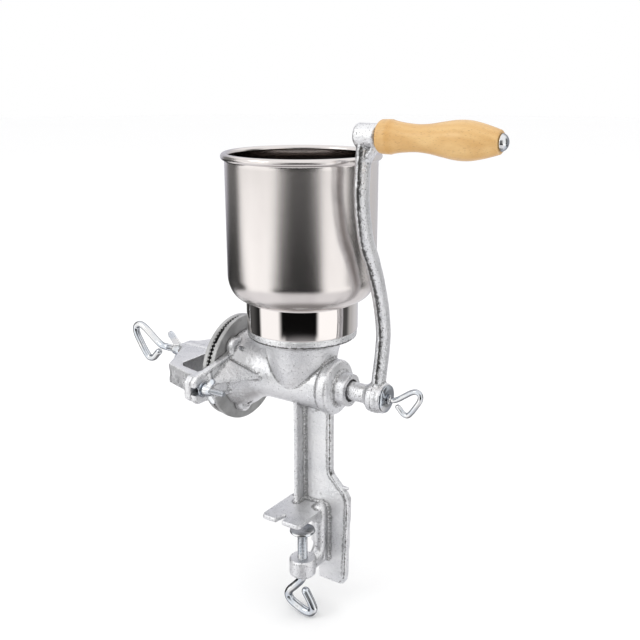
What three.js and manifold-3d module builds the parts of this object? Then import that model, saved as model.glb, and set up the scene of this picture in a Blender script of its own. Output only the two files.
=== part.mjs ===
// Hand-cranked cast grain mill that clamps to a table edge.
// Millimetres, +Z up. X runs along the main shaft towards the crank, -Y is the side the table
// enters the clamp from. The origin is on the underside of the clamp's upper jaw, below the
// crossing of the shaft axis and the hopper axis.
import * as THREE from 'three';
import { mergeVertices } from 'three/addons/utils/BufferGeometryUtils.js';
import Module from 'manifold-3d';

const wasm = await Module();
wasm.setup();

// ---- Driving dimensions -----------------------------------------------------------------
const FIT = 0.3;                // clearance left between two pieces that touch
const SHAFT_Z = 126;            // shaft axis above the clamp's upper jaw

const RIM_TOP = 337;            // top of the hopper's rolled rim
const HOPPER_R = 67.4;          // outer radius of the hopper's body
const HOPPER_WALL = 1;
const NECK_R = 51;              // outer radius of the hopper's neck
const SEAT_Z = 178;             // flat of the throat that the hopper stands on

const BARREL_R = 23.5;
const BORE_R = 19.5;            // bore that the worm turns in
const AUGER_R = 18.8;
const SHAFT_R = 8.6;
const NOSE_X = 54;              // outer face of the barrel's nose
const FLANGE_X = -66.2;         // face of the bell that the fixed burr sits on
const FLANGE_R = 44;

const BURR_R = 52;
const BURR_PLATE = 4.5;         // thickness of a burr's plate without its teeth
const TOOTH = 1.2;              // height of the grinding teeth
const TEETH = 18;
const BURR_GAP = 3;             // gap between the teeth at rest

const EAR_Y = 72;               // sideways distance of the yoke's bolts from the shaft
const YOKE_X = -149;            // outer face of the yoke's boss

const ARM_X = 82;               // plane that the crank arm swings in
const HUB_X0 = 71;
const HUB_X1 = 90;
const HUB_R = 14.5;
const GRIP_Y = -30;             // crank pin axis at rest, from the shaft axis
const GRIP_DZ = 230;
const GRIP_X0 = 97.3;
const GRIP_X1 = 196.5;

const JAW = 5;                  // thickness of the clamp's upper jaw
const CLAMP_X = 24;             // clamp screw axis
const CLAMP_Y = -36;
const CLAMP_BOSS_TOP = -37;
const CLAMP_BOSS_R = 12.5;
const CLAMP_BOSS_H = 17;
const PAD_TOP = -7;             // top of the swivel pad at rest
const CLAMP_SCREW_R = 4.7;

// ---- Finishes -----------------------------------------------------------------------------
const finish = (color, roughness, metalness) => new THREE.MeshStandardMaterial({ color, roughness, metalness });
const casting = finish(0xc9cacc, 0.38, 0.9);
const steel = finish(0xb9b5b1, 0.25, 1);
const plated = finish(0xd2d6da, 0.15, 1);
const burrIron = finish(0xb4b5b6, 0.45, 0.9);
const wood = finish(0xd9a962, 0.4, 0);

// ---- Shape tools --------------------------------------------------------------------------
const V2 = (x, y) => new THREE.Vector2(x, y);
const V3 = (x, y, z) => new THREE.Vector3(x, y, z);
const rad = THREE.MathUtils.degToRad;

function solid(geometry) {
  const bare = geometry.index ? geometry.toNonIndexed() : geometry.clone();
  bare.deleteAttribute('normal');
  bare.deleteAttribute('uv');
  const merged = mergeVertices(bare, 1e-4);
  return new wasm.Manifold(new wasm.Mesh({
    numProp: 3,
    vertProperties: new Float32Array(merged.attributes.position.array),
    triVerts: new Uint32Array(merged.index.array),
  }));
}

const join = (...pieces) => pieces.reduce((whole, piece) => whole.add(piece));
const cut = (body, ...tools) => tools.reduce((rest, tool) => rest.subtract(tool), body);

// Turned about the Z axis; the profile is [radius, z] pairs.
function turnedZ(profile, segments = 40, x = 0, y = 0) {
  const lathe = new THREE.LatheGeometry(profile.map(([r, z]) => V2(r, z)), segments);
  lathe.rotateX(Math.PI / 2);
  lathe.translate(x, y, 0);
  return solid(lathe);
}

// Turned about the X axis; the profile is [x, radius] pairs with x rising.
function latheX(profile, segments) {
  const lathe = new THREE.LatheGeometry(profile.map(([x, r]) => V2(r, x)), segments);
  return lathe.rotateZ(-Math.PI / 2);
}

const turnedX = (profile, segments = 32, y = 0, z = SHAFT_Z) => solid(latheX(profile, segments).translate(0, y, z));

const rodX = (x0, x1, r, segments = 20, y = 0, z = SHAFT_Z) =>
  turnedX([[x0, 0], [x0, r], [x1, r], [x1, 0]], segments, y, z);

const ringX = (x0, x1, r0, r1, segments = 20, y = 0, z = SHAFT_Z) =>
  turnedX([[x0, r0], [x0, r1], [x1, r1], [x1, r0], [x0, r0]], segments, y, z);

const rodZ = (z0, z1, r, segments = 24, x = 0, y = 0) =>
  turnedZ([[0, z0], [r, z0], [r, z1], [0, z1]], segments, x, y);

function box(x0, x1, y0, y1, z0, z1) {
  const block = new THREE.BoxGeometry(x1 - x0, y1 - y0, z1 - z0);
  block.translate((x0 + x1) / 2, (y0 + y1) / 2, (z0 + z1) / 2);
  return solid(block);
}

const outline = (points) => new THREE.Shape(points.map(([a, b]) => V2(a, b)));

const extruded = (shape, depth, curveSegments = 10) =>
  new THREE.ExtrudeGeometry(shape, { depth, bevelEnabled: false, curveSegments });

// Plate in the XZ plane between y0 and y1.
function plateXZ(shape, y0, y1) {
  const plate = extruded(shape, y1 - y0);
  plate.rotateX(Math.PI / 2);
  plate.translate(0, y1, 0);
  return solid(plate);
}

// Plate in the XY plane between z0 and z1.
function plateXY(shape, z0, z1) {
  const plate = extruded(shape, z1 - z0);
  plate.translate(0, 0, z0);
  return solid(plate);
}

// Plate in the YZ plane between x0 and x1.
function plateYZ(shape, x0, x1) {
  const plate = extruded(shape, x1 - x0);
  plate.rotateY(Math.PI / 2);
  plate.rotateX(Math.PI / 2);
  plate.translate(x0, 0, 0);
  return solid(plate);
}

// Bar of an elliptic section along a smooth curve through the points. A curve that lies in one
// plane has halfA across the plane and halfB in it.
function barGeometry(points, halfA, halfB, steps, sides = 12) {
  const path = new THREE.CatmullRomCurve3(points, false, 'centripetal');
  const section = new THREE.Shape();
  section.absellipse(0, 0, halfA, halfB, 0, 2 * Math.PI, false, 0);
  return new THREE.ExtrudeGeometry(section, {
    steps, curveSegments: sides, bevelEnabled: false, extrudePath: path,
  });
}

const bar = (...shape) => solid(barGeometry(...shape));

const around = (count, make) => Array.from({ length: count }, (_, i) => make((i * 2 * Math.PI) / count, i));

// ---- Assembly -----------------------------------------------------------------------------
const mill = new THREE.Group();

function add(name, shape, material) {
  const mesh = shape.getMesh();
  const geometry = new THREE.BufferGeometry();
  geometry.setAttribute('position', new THREE.BufferAttribute(new Float32Array(mesh.vertProperties), 3));
  geometry.setIndex(new THREE.BufferAttribute(new Uint32Array(mesh.triVerts), 1));
  geometry.computeVertexNormals();
  const node = new THREE.Mesh(geometry, material);
  node.name = name;
  mill.add(node);
}

// ---- Mill body: one iron casting ------------------------------------------------------------
const EAR_X0 = FLANGE_X;
const EAR_X1 = FLANGE_X + 6;
const BURR_SCREW_R = 34;         // pitch radius of the burr screws
const BURR_SCREW_ANGLES = [rad(130), rad(250), rad(10)];
const onBurrCircle = (angle) => [BURR_SCREW_R * Math.cos(angle), SHAFT_Z + BURR_SCREW_R * Math.sin(angle)];

function barrelOutside() {
  return turnedX([
    [FLANGE_X, 0], [FLANGE_X, FLANGE_R], [FLANGE_X + 6.5, FLANGE_R],
    [FLANGE_X + 10, 39], [FLANGE_X + 17, 30], [FLANGE_X + 25, 25.5], [FLANGE_X + 34, BARREL_R],
    [31, BARREL_R], [33, 25.8], [39.5, 25.8], [41, 24], [42.5, 17],
    [44, 15.2], [NOSE_X, 15.2], [NOSE_X, 0],
  ], 28);
}

function barrelInside() {
  const nose = turnedX([
    [20, 0], [20, SHAFT_R + 0.4], [NOSE_X - 3, SHAFT_R + 0.4], [NOSE_X - 3, 10.4], [NOSE_X + 5, 10.4], [NOSE_X + 5, 0],
  ], 20);
  const bore = turnedX([
    [FLANGE_X - 5, 0], [FLANGE_X - 5, 27], [FLANGE_X, 27], [FLANGE_X + 9, BORE_R], [28, BORE_R], [32, SHAFT_R + 0.4], [32, 0],
  ], 26);
  return join(nose, bore);
}

function throat() {
  const outside = turnedZ([
    [0, SHAFT_Z - 6], [21, SHAFT_Z - 6], [27, SHAFT_Z + 5], [31.5, SHAFT_Z + 18], [35, SHAFT_Z + 34],
    [38.5, SHAFT_Z + 42], [45, SEAT_Z - 7.5], [50.6, SEAT_Z - 6.5], [50.6, SEAT_Z],
    [49.3, SEAT_Z], [49.3, SEAT_Z + 11], [0, SEAT_Z + 11],
  ], 36);
  const inside = turnedZ([
    [0, SHAFT_Z], [16.5, SHAFT_Z], [16.5, SHAFT_Z + 9], [26, SHAFT_Z + 20], [31, SHAFT_Z + 34],
    [40, SEAT_Z - 6], [46, SEAT_Z], [46, SEAT_Z + 15], [0, SEAT_Z + 15],
  ], 28);
  return { outside, inside };
}

// The ear lugs carry the yoke's bolts in open slots; ribs tie them to the bell.
function ear(side) {
  const y = side * EAR_Y;
  const lug = new THREE.Shape();
  const inner = side * 22;
  const tip = side * (EAR_Y + 12);
  lug.moveTo(inner, SHAFT_Z - 18);
  lug.lineTo(side * 50, SHAFT_Z - 14);
  lug.lineTo(tip - side * 4, SHAFT_Z - 13);
  lug.lineTo(tip, SHAFT_Z - 9);
  lug.lineTo(tip, SHAFT_Z + 9);
  lug.lineTo(tip - side * 4, SHAFT_Z + 13);
  lug.lineTo(side * 50, SHAFT_Z + 16);
  lug.lineTo(inner, SHAFT_Z + 26);
  const flatRib = outline([[EAR_X1 - 1, side * 58], [EAR_X1 - 1, side * 20], [EAR_X1 + 30, side * 20]]);
  const slot = box(EAR_X0 - 2, EAR_X1 + 2, Math.min(y, y + side * 20), Math.max(y, y + side * 20),
    SHAFT_Z - 3.3, SHAFT_Z + 3.3);
  return {
    metal: join(plateYZ(lug, EAR_X0, EAR_X1), plateXY(flatRib, SHAFT_Z + 3, SHAFT_Z + 7)),
    slot: join(slot, rodX(EAR_X0 - 2, EAR_X1 + 2, 3.3, 20, y)),
  };
}

const COLUMN_HALF = 3.5;         // half the thickness of the column's plate
const COLUMN_X0 = -9;
const COLUMN_X1 = 34;
const FOOT_X0 = 20;              // the plate beside the clamp's spine
const FOOT_X1 = 52;
const FOOT_Z = -77;

function column() {
  const plate = new THREE.Shape();
  plate.moveTo(COLUMN_X0, SHAFT_Z - 10);
  plate.lineTo(COLUMN_X0, 0);
  plate.lineTo(FOOT_X0, 0);
  plate.lineTo(FOOT_X0, FOOT_Z);
  plate.lineTo(FOOT_X1 - 9, FOOT_Z);
  plate.quadraticCurveTo(FOOT_X1 - 1, FOOT_Z, FOOT_X1 - 1, FOOT_Z + 9);
  plate.lineTo(FOOT_X1 + 2, 12);
  plate.quadraticCurveTo(FOOT_X1 + 2, 18, FOOT_X1 - 2, 22);
  plate.lineTo(COLUMN_X1 + 2, 36);
  plate.quadraticCurveTo(COLUMN_X1, 38, COLUMN_X1, 42);
  plate.lineTo(COLUMN_X1, SHAFT_Z - 24);
  plate.quadraticCurveTo(COLUMN_X1 + 1, SHAFT_Z - 17, COLUMN_X1 + 6, SHAFT_Z - 14);
  plate.lineTo(COLUMN_X1 + 6, SHAFT_Z - 10);
  const rib = box(0, 4, -17, 0, 2, SHAFT_Z - 12);
  return join(plateXZ(plate, -COLUMN_HALF, COLUMN_HALF), rib);
}

const JAW_X0 = -11;
const JAW_X1 = 31;
const JAW_Y = -52;

function upperJaw() {
  const notchX = (JAW_X0 + JAW_X1) / 2 - 1.5;
  const table = outline([
    [JAW_X0, -COLUMN_HALF], [JAW_X0, JAW_Y + 1], [JAW_X0 + 2, JAW_Y - 1], [notchX - 3.2, JAW_Y - 1],
    [notchX - 1.4, JAW_Y + 10], [notchX + 1.4, JAW_Y + 10], [notchX + 3.2, JAW_Y - 1],
    [JAW_X1 - 2, JAW_Y - 1], [JAW_X1, JAW_Y + 1], [JAW_X1, -COLUMN_HALF], [JAW_X1 - 4, COLUMN_HALF],
    [JAW_X0 + 4, COLUMN_HALF],
  ].reverse());
  return plateXY(table, 0, JAW);
}

// The spine drops from the jaw and turns forward into the boss that the clamp screw runs in.
function clampFrame() {
  const spineY = -10.5;
  const turnZ = CLAMP_BOSS_TOP - 9;
  const spine = bar([
    V3(26.5, spineY, 3), V3(26.5, spineY, -12), V3(26.5, spineY, CLAMP_BOSS_TOP + 10),
    V3(26.3, spineY - 2, turnZ + 6), V3(25.5, spineY - 9, turnZ), V3(25, CLAMP_Y + 9, turnZ),
  ], 6.2, 6.2, 14, 6);
  const back = box(FOOT_X0 + 1, 32, spineY, 0, turnZ - 4, 2);
  const web = box(21, 31, CLAMP_Y + 6, 0, CLAMP_BOSS_TOP - CLAMP_BOSS_H + 1, turnZ + 2);
  const boss = rodZ(CLAMP_BOSS_TOP - CLAMP_BOSS_H, CLAMP_BOSS_TOP, CLAMP_BOSS_R, 36, CLAMP_X, CLAMP_Y);
  return join(spine, back, web, boss);
}

const clampBore = rodZ(CLAMP_BOSS_TOP - 30, CLAMP_BOSS_TOP + 8, CLAMP_SCREW_R + 0.35, 24, CLAMP_X, CLAMP_Y);
const burrScrewHoles = BURR_SCREW_ANGLES.map((angle) => {
  const [y, z] = onBurrCircle(angle);
  return rodX(FLANGE_X - 2, FLANGE_X + 30, 2.35, 14, y, z);
});
const throatParts = throat();
const ears = [ear(-1), ear(1)];
const bodyMetal = join(barrelOutside(), throatParts.outside, ...ears.map((e) => e.metal), column(), upperJaw(), clampFrame());
const body = cut(bodyMetal, throatParts.inside, barrelInside(), clampBore, ...burrScrewHoles, ...ears.map((e) => e.slot));
add('mill_body', body, casting);

// ---- Hopper: drawn from sheet, with a rolled rim --------------------------------------------
const RIM_BEAD_R = 3.2;
const RIM_Z = RIM_TOP - RIM_BEAD_R;
const SHOULDER_Z = 230;
const NECK_TOP_Z = 207;
const SHOULDER_STEPS = 5;

// Wall line offset inwards by t: neck, swept shoulder, body.
function hopperLine(t) {
  const line = [[NECK_R - t, SEAT_Z + FIT], [NECK_R - t, NECK_TOP_Z - 2]];
  for (let i = 0; i <= SHOULDER_STEPS; i += 1) {
    const a = (i / SHOULDER_STEPS) * (Math.PI / 2);
    line.push([NECK_R + 1.5 + (HOPPER_R - NECK_R - 1.5) * Math.sin(a) - t, SHOULDER_Z - (SHOULDER_Z - NECK_TOP_Z) * Math.cos(a)]);
  }
  line.push([HOPPER_R - t, RIM_Z]);
  return line;
}

function rimBead() {
  const centre = HOPPER_R + 0.2;
  const ring = around(8, (a) => [centre + RIM_BEAD_R * Math.cos(a), RIM_Z + RIM_BEAD_R * Math.sin(a)]);
  return turnedZ([...ring, ring[0]], 36);
}

const shellProfile = [...hopperLine(0), ...hopperLine(HOPPER_WALL).reverse()];
add('hopper', join(turnedZ([...shellProfile, shellProfile[0]], 36), rimBead()), steel);

// ---- Burrs ------------------------------------------------------------------------------------
const FIXED_X1 = FLANGE_X - FIT;
const FIXED_X0 = FIXED_X1 - BURR_PLATE;
const TURN_X1 = FIXED_X0 - 2 * TOOTH - BURR_GAP;
const TURN_X0 = TURN_X1 - BURR_PLATE;
const TURN_BURR_R = BURR_R - 1.5;

// Radial grinding teeth that stand on a burr's face between x0 and x1.
function grindingTeeth(x0, x1, r0, r1) {
  return around(TEETH, (angle) => {
    const length = r1 - r0;
    const tooth = new THREE.BoxGeometry(x1 - x0, length, 4);
    tooth.translate((x0 + x1) / 2, r0 + length / 2, 0);
    tooth.rotateX(angle);
    tooth.translate(0, 0, SHAFT_Z);
    return solid(tooth);
  });
}

function burrScrewHole(x0, x1, angle, r) {
  const [y, z] = onBurrCircle(angle);
  return rodX(x0, x1, r, 14, y, z);
}

const fixedBurr = join(ringX(FIXED_X0, FIXED_X1, 22, BURR_R, 36),
  ...grindingTeeth(FIXED_X0 - TOOTH, FIXED_X0 + 1, 38, BURR_R - 1));
const fixedSinks = BURR_SCREW_ANGLES.flatMap((angle) => [
  burrScrewHole(FIXED_X0 - 3, FIXED_X1 + 1, angle, 2.35),
  burrScrewHole(FIXED_X0 - 3, FIXED_X0 + 2.3, angle, 4.6),
]);
add('fixed_burr', cut(fixedBurr, ...fixedSinks), burrIron);

BURR_SCREW_ANGLES.forEach((angle, i) => {
  const [y, z] = onBurrCircle(angle);
  const screw = turnedX([
    [FIXED_X0 - 0.2, 0], [FIXED_X0 - 0.2, 4.3], [FIXED_X0 + 1.9, 4.3], [FIXED_X0 + 1.9, 2], [FLANGE_X + 8, 2], [FLANGE_X + 8, 0],
  ], 14, y, z);
  const slot = box(FIXED_X0 - 1, FIXED_X0 + 0.8, y - 5, y + 5, z - 0.6, z + 0.6);
  add(`fixed_burr_screw_${i + 1}`, cut(screw, slot), plated);
});

const CARRIER_X0 = TURN_X0 - 6.5;
const CARRIER_X1 = TURN_X0 - FIT;
const TURN_SCREW_R = 30;
const TURN_SCREW_ANGLES = [rad(90), rad(270)];
const turnHole = (x0, x1, angle, r) =>
  rodX(x0, x1, r, 14, TURN_SCREW_R * Math.cos(angle), SHAFT_Z + TURN_SCREW_R * Math.sin(angle));

const turningBurr = join(ringX(TURN_X0, TURN_X1, 12, TURN_BURR_R, 36),
  ...grindingTeeth(TURN_X1 - 1, TURN_X1 + TOOTH, 38, TURN_BURR_R - 1));
add('turning_burr', cut(turningBurr, ...TURN_SCREW_ANGLES.flatMap((angle) => [
  turnHole(TURN_X0 - 1, TURN_X1 + 3, angle, 2.35), turnHole(TURN_X1 - 2.3, TURN_X1 + 3, angle, 4.6),
])), burrIron);

// The carrier is a cast disc with a boss, pinned across the worm's end; it drives the burr.
const carrier = turnedX([
  [CARRIER_X0 - 7, SHAFT_R + FIT], [CARRIER_X0 - 7, 15], [CARRIER_X0, 17], [CARRIER_X0, 40],
  [CARRIER_X1, 41], [CARRIER_X1, SHAFT_R + FIT], [CARRIER_X0 - 7, SHAFT_R + FIT],
], 32);
const DRIVE_PIN_X = CARRIER_X0 - 3.2;
add('burr_carrier', cut(carrier, rodZ(SHAFT_Z - 20, SHAFT_Z + 20, 2.3, 14, DRIVE_PIN_X),
  ...TURN_SCREW_ANGLES.map((angle) => turnHole(CARRIER_X0 - 1, CARRIER_X1 + 1, angle, 2.35))), casting);
add('drive_pin', rodZ(SHAFT_Z - 14, SHAFT_Z + 14, 2, 14, DRIVE_PIN_X), plated);

TURN_SCREW_ANGLES.forEach((angle, i) => {
  const y = TURN_SCREW_R * Math.cos(angle);
  const z = SHAFT_Z + TURN_SCREW_R * Math.sin(angle);
  const screw = turnedX([
    [CARRIER_X0 + 0.5, 0], [CARRIER_X0 + 0.5, 2], [TURN_X1 - 1.9, 2], [TURN_X1 - 1.9, 4.3], [TURN_X1 + 0.2, 4.3], [TURN_X1 + 0.2, 0],
  ], 14, y, z);
  const slot = box(TURN_X1 - 0.8, TURN_X1 + 1, y - 5, y + 5, z - 0.6, z + 0.6);
  add(`turning_burr_screw_${i + 1}`, cut(screw, slot), plated);
});

// ---- Worm and shaft in one casting --------------------------------------------------------------
const SHAFT_X0 = CARRIER_X0 - 9;
const WORM_X0 = FLANGE_X + 6;
const WORM_X1 = 24;
const WORM_PITCH = 26;
const WORM_RIB = 4.5;            // width of the worm's thread along the shaft
const DRIVE_SQUARE = 11;         // square end that the crank sits on

function wormThread() {
  const length = WORM_X1 - WORM_X0 - WORM_RIB;
  const depth = AUGER_R - SHAFT_R + 2;
  const rib = new THREE.BoxGeometry(length, WORM_RIB, depth, 40, 1, 1);
  const position = rib.attributes.position;
  for (let i = 0; i < position.count; i += 1) {
    const along = position.getX(i) + length / 2;
    const turn = (along / WORM_PITCH) * 2 * Math.PI;
    const r = SHAFT_R - 2 + depth / 2 + position.getZ(i);
    const x = WORM_X0 + WORM_RIB / 2 + along + position.getY(i);
    position.setXYZ(i, x, r * Math.cos(turn), SHAFT_Z + r * Math.sin(turn));
  }
  return solid(rib);
}

const shaftCore = turnedX([
  [SHAFT_X0, 0], [SHAFT_X0, SHAFT_R], [WORM_X0, SHAFT_R], [WORM_X0 + 10, 11], [WORM_X1, 9.5],
  [WORM_X1 + 4, SHAFT_R], [HUB_X0 - FIT, SHAFT_R], [HUB_X0 - FIT, 0],
], 20);
const driveEnd = box(HUB_X0 - 2, HUB_X1 - 0.6, -DRIVE_SQUARE / 2, DRIVE_SQUARE / 2,
  SHAFT_Z - DRIVE_SQUARE / 2, SHAFT_Z + DRIVE_SQUARE / 2);
const BALL_R = 4;
const ballCup = rodX(SHAFT_X0 - 2, SHAFT_X0 + 4, BALL_R + 0.4, 20);
const THUMB_R = 2.3;
const thumbHole = rodX(HUB_X1 - 20, HUB_X1 + 2, THUMB_R + 0.35, 16);
const worm = cut(join(shaftCore, driveEnd, wormThread()), ballCup, thumbHole,
  rodZ(SHAFT_Z - 20, SHAFT_Z + 20, 2.3, 14, DRIVE_PIN_X));
add('worm_shaft', worm, casting);

const ball = new THREE.SphereGeometry(BALL_R, 12, 8);
ball.translate(SHAFT_X0 + 4 - BALL_R - FIT, 0, SHAFT_Z);
add('thrust_ball', solid(ball), plated);
const BALL_X0 = SHAFT_X0 + 4 - 2 * BALL_R - FIT;

// ---- Yoke: cast bridge that carries the thrust ------------------------------------------------------
const YOKE_HALF = 10;            // half the height of the bridge
const YOKE_CORNER_X = -116;
const YOKE_CORNER_Y = 58;
const YOKE_INNER_X = -107;
const YOKE_PAD_X0 = FLANGE_X - FIT - 7;
const YOKE_PAD_X1 = FLANGE_X - FIT;
const ADJUST_R = 3.7;

function yokeHalfPlan(side) {
  return [
    [YOKE_X, side * 9], [YOKE_X + 8, side * 12], [YOKE_CORNER_X - 6, side * (YOKE_CORNER_Y - 12)],
    [YOKE_CORNER_X, side * YOKE_CORNER_Y], [YOKE_PAD_X0, side * (EAR_Y - 1)], [YOKE_PAD_X0 + 1, side * (EAR_Y - 12)],
    [YOKE_INNER_X + 6, side * (YOKE_CORNER_Y - 4)], [YOKE_INNER_X, side * (YOKE_CORNER_Y - 10)],
  ];
}

function yokeLug(side) {
  const lug = new THREE.Shape();
  const tip = side * (EAR_Y + 12);
  const root = side * (EAR_Y - 11);
  lug.moveTo(root, SHAFT_Z - 12.5);
  lug.lineTo(tip - side * 5, SHAFT_Z - 12.5);
  lug.lineTo(tip, SHAFT_Z - 8);
  lug.lineTo(tip, SHAFT_Z + 8);
  lug.lineTo(tip - side * 5, SHAFT_Z + 12.5);
  lug.lineTo(root, SHAFT_Z + 12.5);
  return plateYZ(lug, YOKE_PAD_X0, YOKE_PAD_X1);
}

const yokePlan = outline([...yokeHalfPlan(-1).reverse(), ...yokeHalfPlan(1)]);
const yokeBlock = plateXY(yokePlan, SHAFT_Z - YOKE_HALF, SHAFT_Z + YOKE_HALF);
const yokeBoss = turnedX([[YOKE_X, 0], [YOKE_X, 9.5], [YOKE_X + 4, 11], [YOKE_INNER_X - 4, 11], [YOKE_INNER_X - 4, 0]], 28);
const yokePockets = [-1, 1].flatMap((side) => [
  plateXY(outline([
    [YOKE_X + 17, side * 14], [YOKE_INNER_X - 4, side * 14], [YOKE_INNER_X - 4, side * 44], [YOKE_CORNER_X - 1, side * 46],
  ]), SHAFT_Z - YOKE_HALF - 1, SHAFT_Z + YOKE_HALF - 4),
  rodX(YOKE_PAD_X0 - 2, YOKE_PAD_X1 + 2, 3.2, 16, side * EAR_Y),
  rodX(YOKE_PAD_X0 - 24, YOKE_PAD_X0, 7.2, 20, side * EAR_Y),
]);
const yoke = cut(join(yokeBlock, yokeBoss, yokeLug(-1), yokeLug(1)), ...yokePockets, rodX(YOKE_X - 2, YOKE_INNER_X + 2, ADJUST_R + 0.35, 20));
add('yoke', yoke, casting);

// ---- Eye screws: rod bent to an eye at one end --------------------------------------------------
// Eye centre lines for an eye of unit size: [along the shank, to the side].
const CLOSED_EYE = [
  [-0.1, 0], [0.02, 0.01], [0.16, 0.08], [0.4, 0.25], [0.62, 0.4], [0.78, 0.45], [0.91, 0.38], [0.92, 0.22],
  [0.78, -0.04], [0.61, -0.29], [0.49, -0.4], [0.34, -0.37], [0.25, -0.25],
];
const OPEN_EYE = [
  [-0.1, 0], [0.02, -0.01], [0.14, -0.07], [0.36, -0.25], [0.56, -0.42], [0.7, -0.46], [0.82, -0.38],
  [0.93, -0.14], [0.99, 0.08], [0.97, 0.25], [0.84, 0.33], [0.68, 0.27], [0.4, 0.09],
];

// Drawn along +X with the shank ending at x = 0 and the eye beyond it, then placed by the matrix.
function eyeScrew(matrix, shankR, shankLength, wireR, eye, size, collar = []) {
  const end = -0.08 * size;
  const shank = latheX([
    [-shankLength, 0], [-shankLength, shankR - 0.6], [-shankLength + 0.8, shankR],
    ...collar, [end, shankR], [end, 0],
  ], 16);
  const wire = barGeometry(eye.map(([x, s]) => V3(x * size, 0, s * size)), wireR, wireR, 28, 4);
  return join(solid(shank.applyMatrix4(matrix)), solid(wire.applyMatrix4(matrix)));
}

const at = (x, y, z) => new THREE.Matrix4().makeTranslation(x, y, z);
const facingBack = new THREE.Matrix4().makeRotationZ(Math.PI);
const facingDown = new THREE.Matrix4().makeRotationY(Math.PI / 2);

const ADJUST_TIP = BALL_X0 - FIT;
const ADJUST_EYE_X = -180;
const ADJUST_EYE = 41;
add('adjusting_screw', eyeScrew(
  at(ADJUST_EYE_X, 0, SHAFT_Z).multiply(facingBack), ADJUST_R, ADJUST_TIP - ADJUST_EYE_X, 3.5, CLOSED_EYE, ADJUST_EYE,
), plated);

// ---- Wing nuts ------------------------------------------------------------------------------------
// Base at x = 0, wings flaring along +X.
function wingNut(matrix, boreR, hubR, height, span, wingTurn = 0) {
  const hub = latheX([[0, 0], [0, hubR], [height * 0.35, hubR * 0.95], [height, hubR * 0.78], [height, 0]], 24);
  const wingShape = new THREE.Shape();
  wingShape.moveTo(height * 0.15, boreR + 0.6);
  wingShape.lineTo(height * 0.12, hubR);
  wingShape.quadraticCurveTo(height * 0.45, span * 0.62, height * 0.85, span * 0.92);
  wingShape.quadraticCurveTo(height * 1.15, span * 1.08, height * 1.4, span * 0.9);
  wingShape.quadraticCurveTo(height * 1.5, span * 0.72, height * 1.22, span * 0.56);
  wingShape.lineTo(height * 0.92, boreR + 0.6);
  const thickness = hubR * 0.42;
  const wings = [0, Math.PI].map((turn) => {
    const wing = extruded(wingShape, thickness, 3);
    wing.translate(0, 0, -thickness / 2);
    return wing.rotateX(wingTurn + turn);
  });
  const bore = latheX([[-1, 0], [-1, boreR], [height + 1, boreR], [height + 1, 0]], 20);
  const [hubSolid, boreSolid, ...wingSolids] = [hub, bore, ...wings].map((g) => solid(g.applyMatrix4(matrix)));
  return cut(join(hubSolid, ...wingSolids), boreSolid);
}

const WASHER = 1.8;
const LOCK_WASHER_X1 = YOKE_X - FIT;
const LOCK_WASHER_X0 = LOCK_WASHER_X1 - WASHER;
add('lock_washer', ringX(LOCK_WASHER_X0, LOCK_WASHER_X1, ADJUST_R + FIT, 8.2), plated);
add('lock_wing_nut', wingNut(
  at(LOCK_WASHER_X0 - FIT, 0, SHAFT_Z).multiply(facingBack), ADJUST_R + FIT, 6.8, 11.6, 20, rad(80),
), plated);

// ---- Yoke bolts, washers and wing nuts -----------------------------------------------------------------
const BOLT_R = 2.8;
const BOLT_HEAD_X1 = YOKE_PAD_X0 - FIT;
const BOLT_END_X = -36;
const EAR_WASHER_X0 = EAR_X1 + FIT;
const EAR_WASHER_X1 = EAR_WASHER_X0 + 1.2;
[['front', -1], ['rear', 1]].forEach(([end, side]) => {
  const y = side * EAR_Y;
  add(`yoke_bolt_${end}`, turnedX([
    [BOLT_HEAD_X1 - 3.6, 0], [BOLT_HEAD_X1 - 3.2, 3.4], [BOLT_HEAD_X1 - 1.8, 5.8], [BOLT_HEAD_X1, 6.4],
    [BOLT_HEAD_X1, BOLT_R], [BOLT_END_X - 0.8, BOLT_R], [BOLT_END_X, BOLT_R - 0.7], [BOLT_END_X, 0],
  ], 20, y), plated);
  add(`yoke_washer_${end}`, ringX(EAR_WASHER_X0, EAR_WASHER_X1, BOLT_R + FIT, 7.6, 20, y), plated);
  add(`yoke_wing_nut_${end}`, wingNut(
    at(EAR_WASHER_X1 + FIT, y, SHAFT_Z), BOLT_R + FIT, 5.6, 8.6, 12, rad(90),
  ), plated);
});

// ---- Crank arm --------------------------------------------------------------------------------------------
const ARM_LINE = [
  [0, 0], [1, 17], [4.5, 34], [7, 56], [3, 80], [-5, 104], [-16, 128], [-24, 142],
  [-30, 162], [-33, 183], [-32, 203], [GRIP_Y, GRIP_DZ - 10], [GRIP_Y, GRIP_DZ],
];
const PIN_R = 3.2;
const TOP_BOSS_X0 = 75.8;
const TOP_BOSS_X1 = 95;
const armBar = bar(ARM_LINE.map(([y, z]) => V3(ARM_X, y, SHAFT_Z + z)), 5.8, 8.3, 30, 5);
const hub = turnedX([
  [HUB_X0, 0], [HUB_X0, 10.5], [HUB_X0 + 3, 11], [HUB_X0 + 4.5, HUB_R - 0.6], [HUB_X0 + 8, HUB_R],
  [HUB_X1 - 5, HUB_R], [HUB_X1 - 4.2, HUB_R - 0.8], [HUB_X1 - 0.8, HUB_R - 0.8], [HUB_X1, HUB_R - 1.6], [HUB_X1, 0],
], 24);
const topBoss = rodX(TOP_BOSS_X0, TOP_BOSS_X1, 10, 28, GRIP_Y, SHAFT_Z + GRIP_DZ);
const squareHalf = DRIVE_SQUARE / 2 + 0.35;
const hubSquare = box(HUB_X0 - 2, HUB_X1 + 2, -squareHalf, squareHalf, SHAFT_Z - squareHalf, SHAFT_Z + squareHalf);
const pinBore = rodX(TOP_BOSS_X0 - 5, TOP_BOSS_X1 + 5, PIN_R + 0.35, 20, GRIP_Y, SHAFT_Z + GRIP_DZ);
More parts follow.
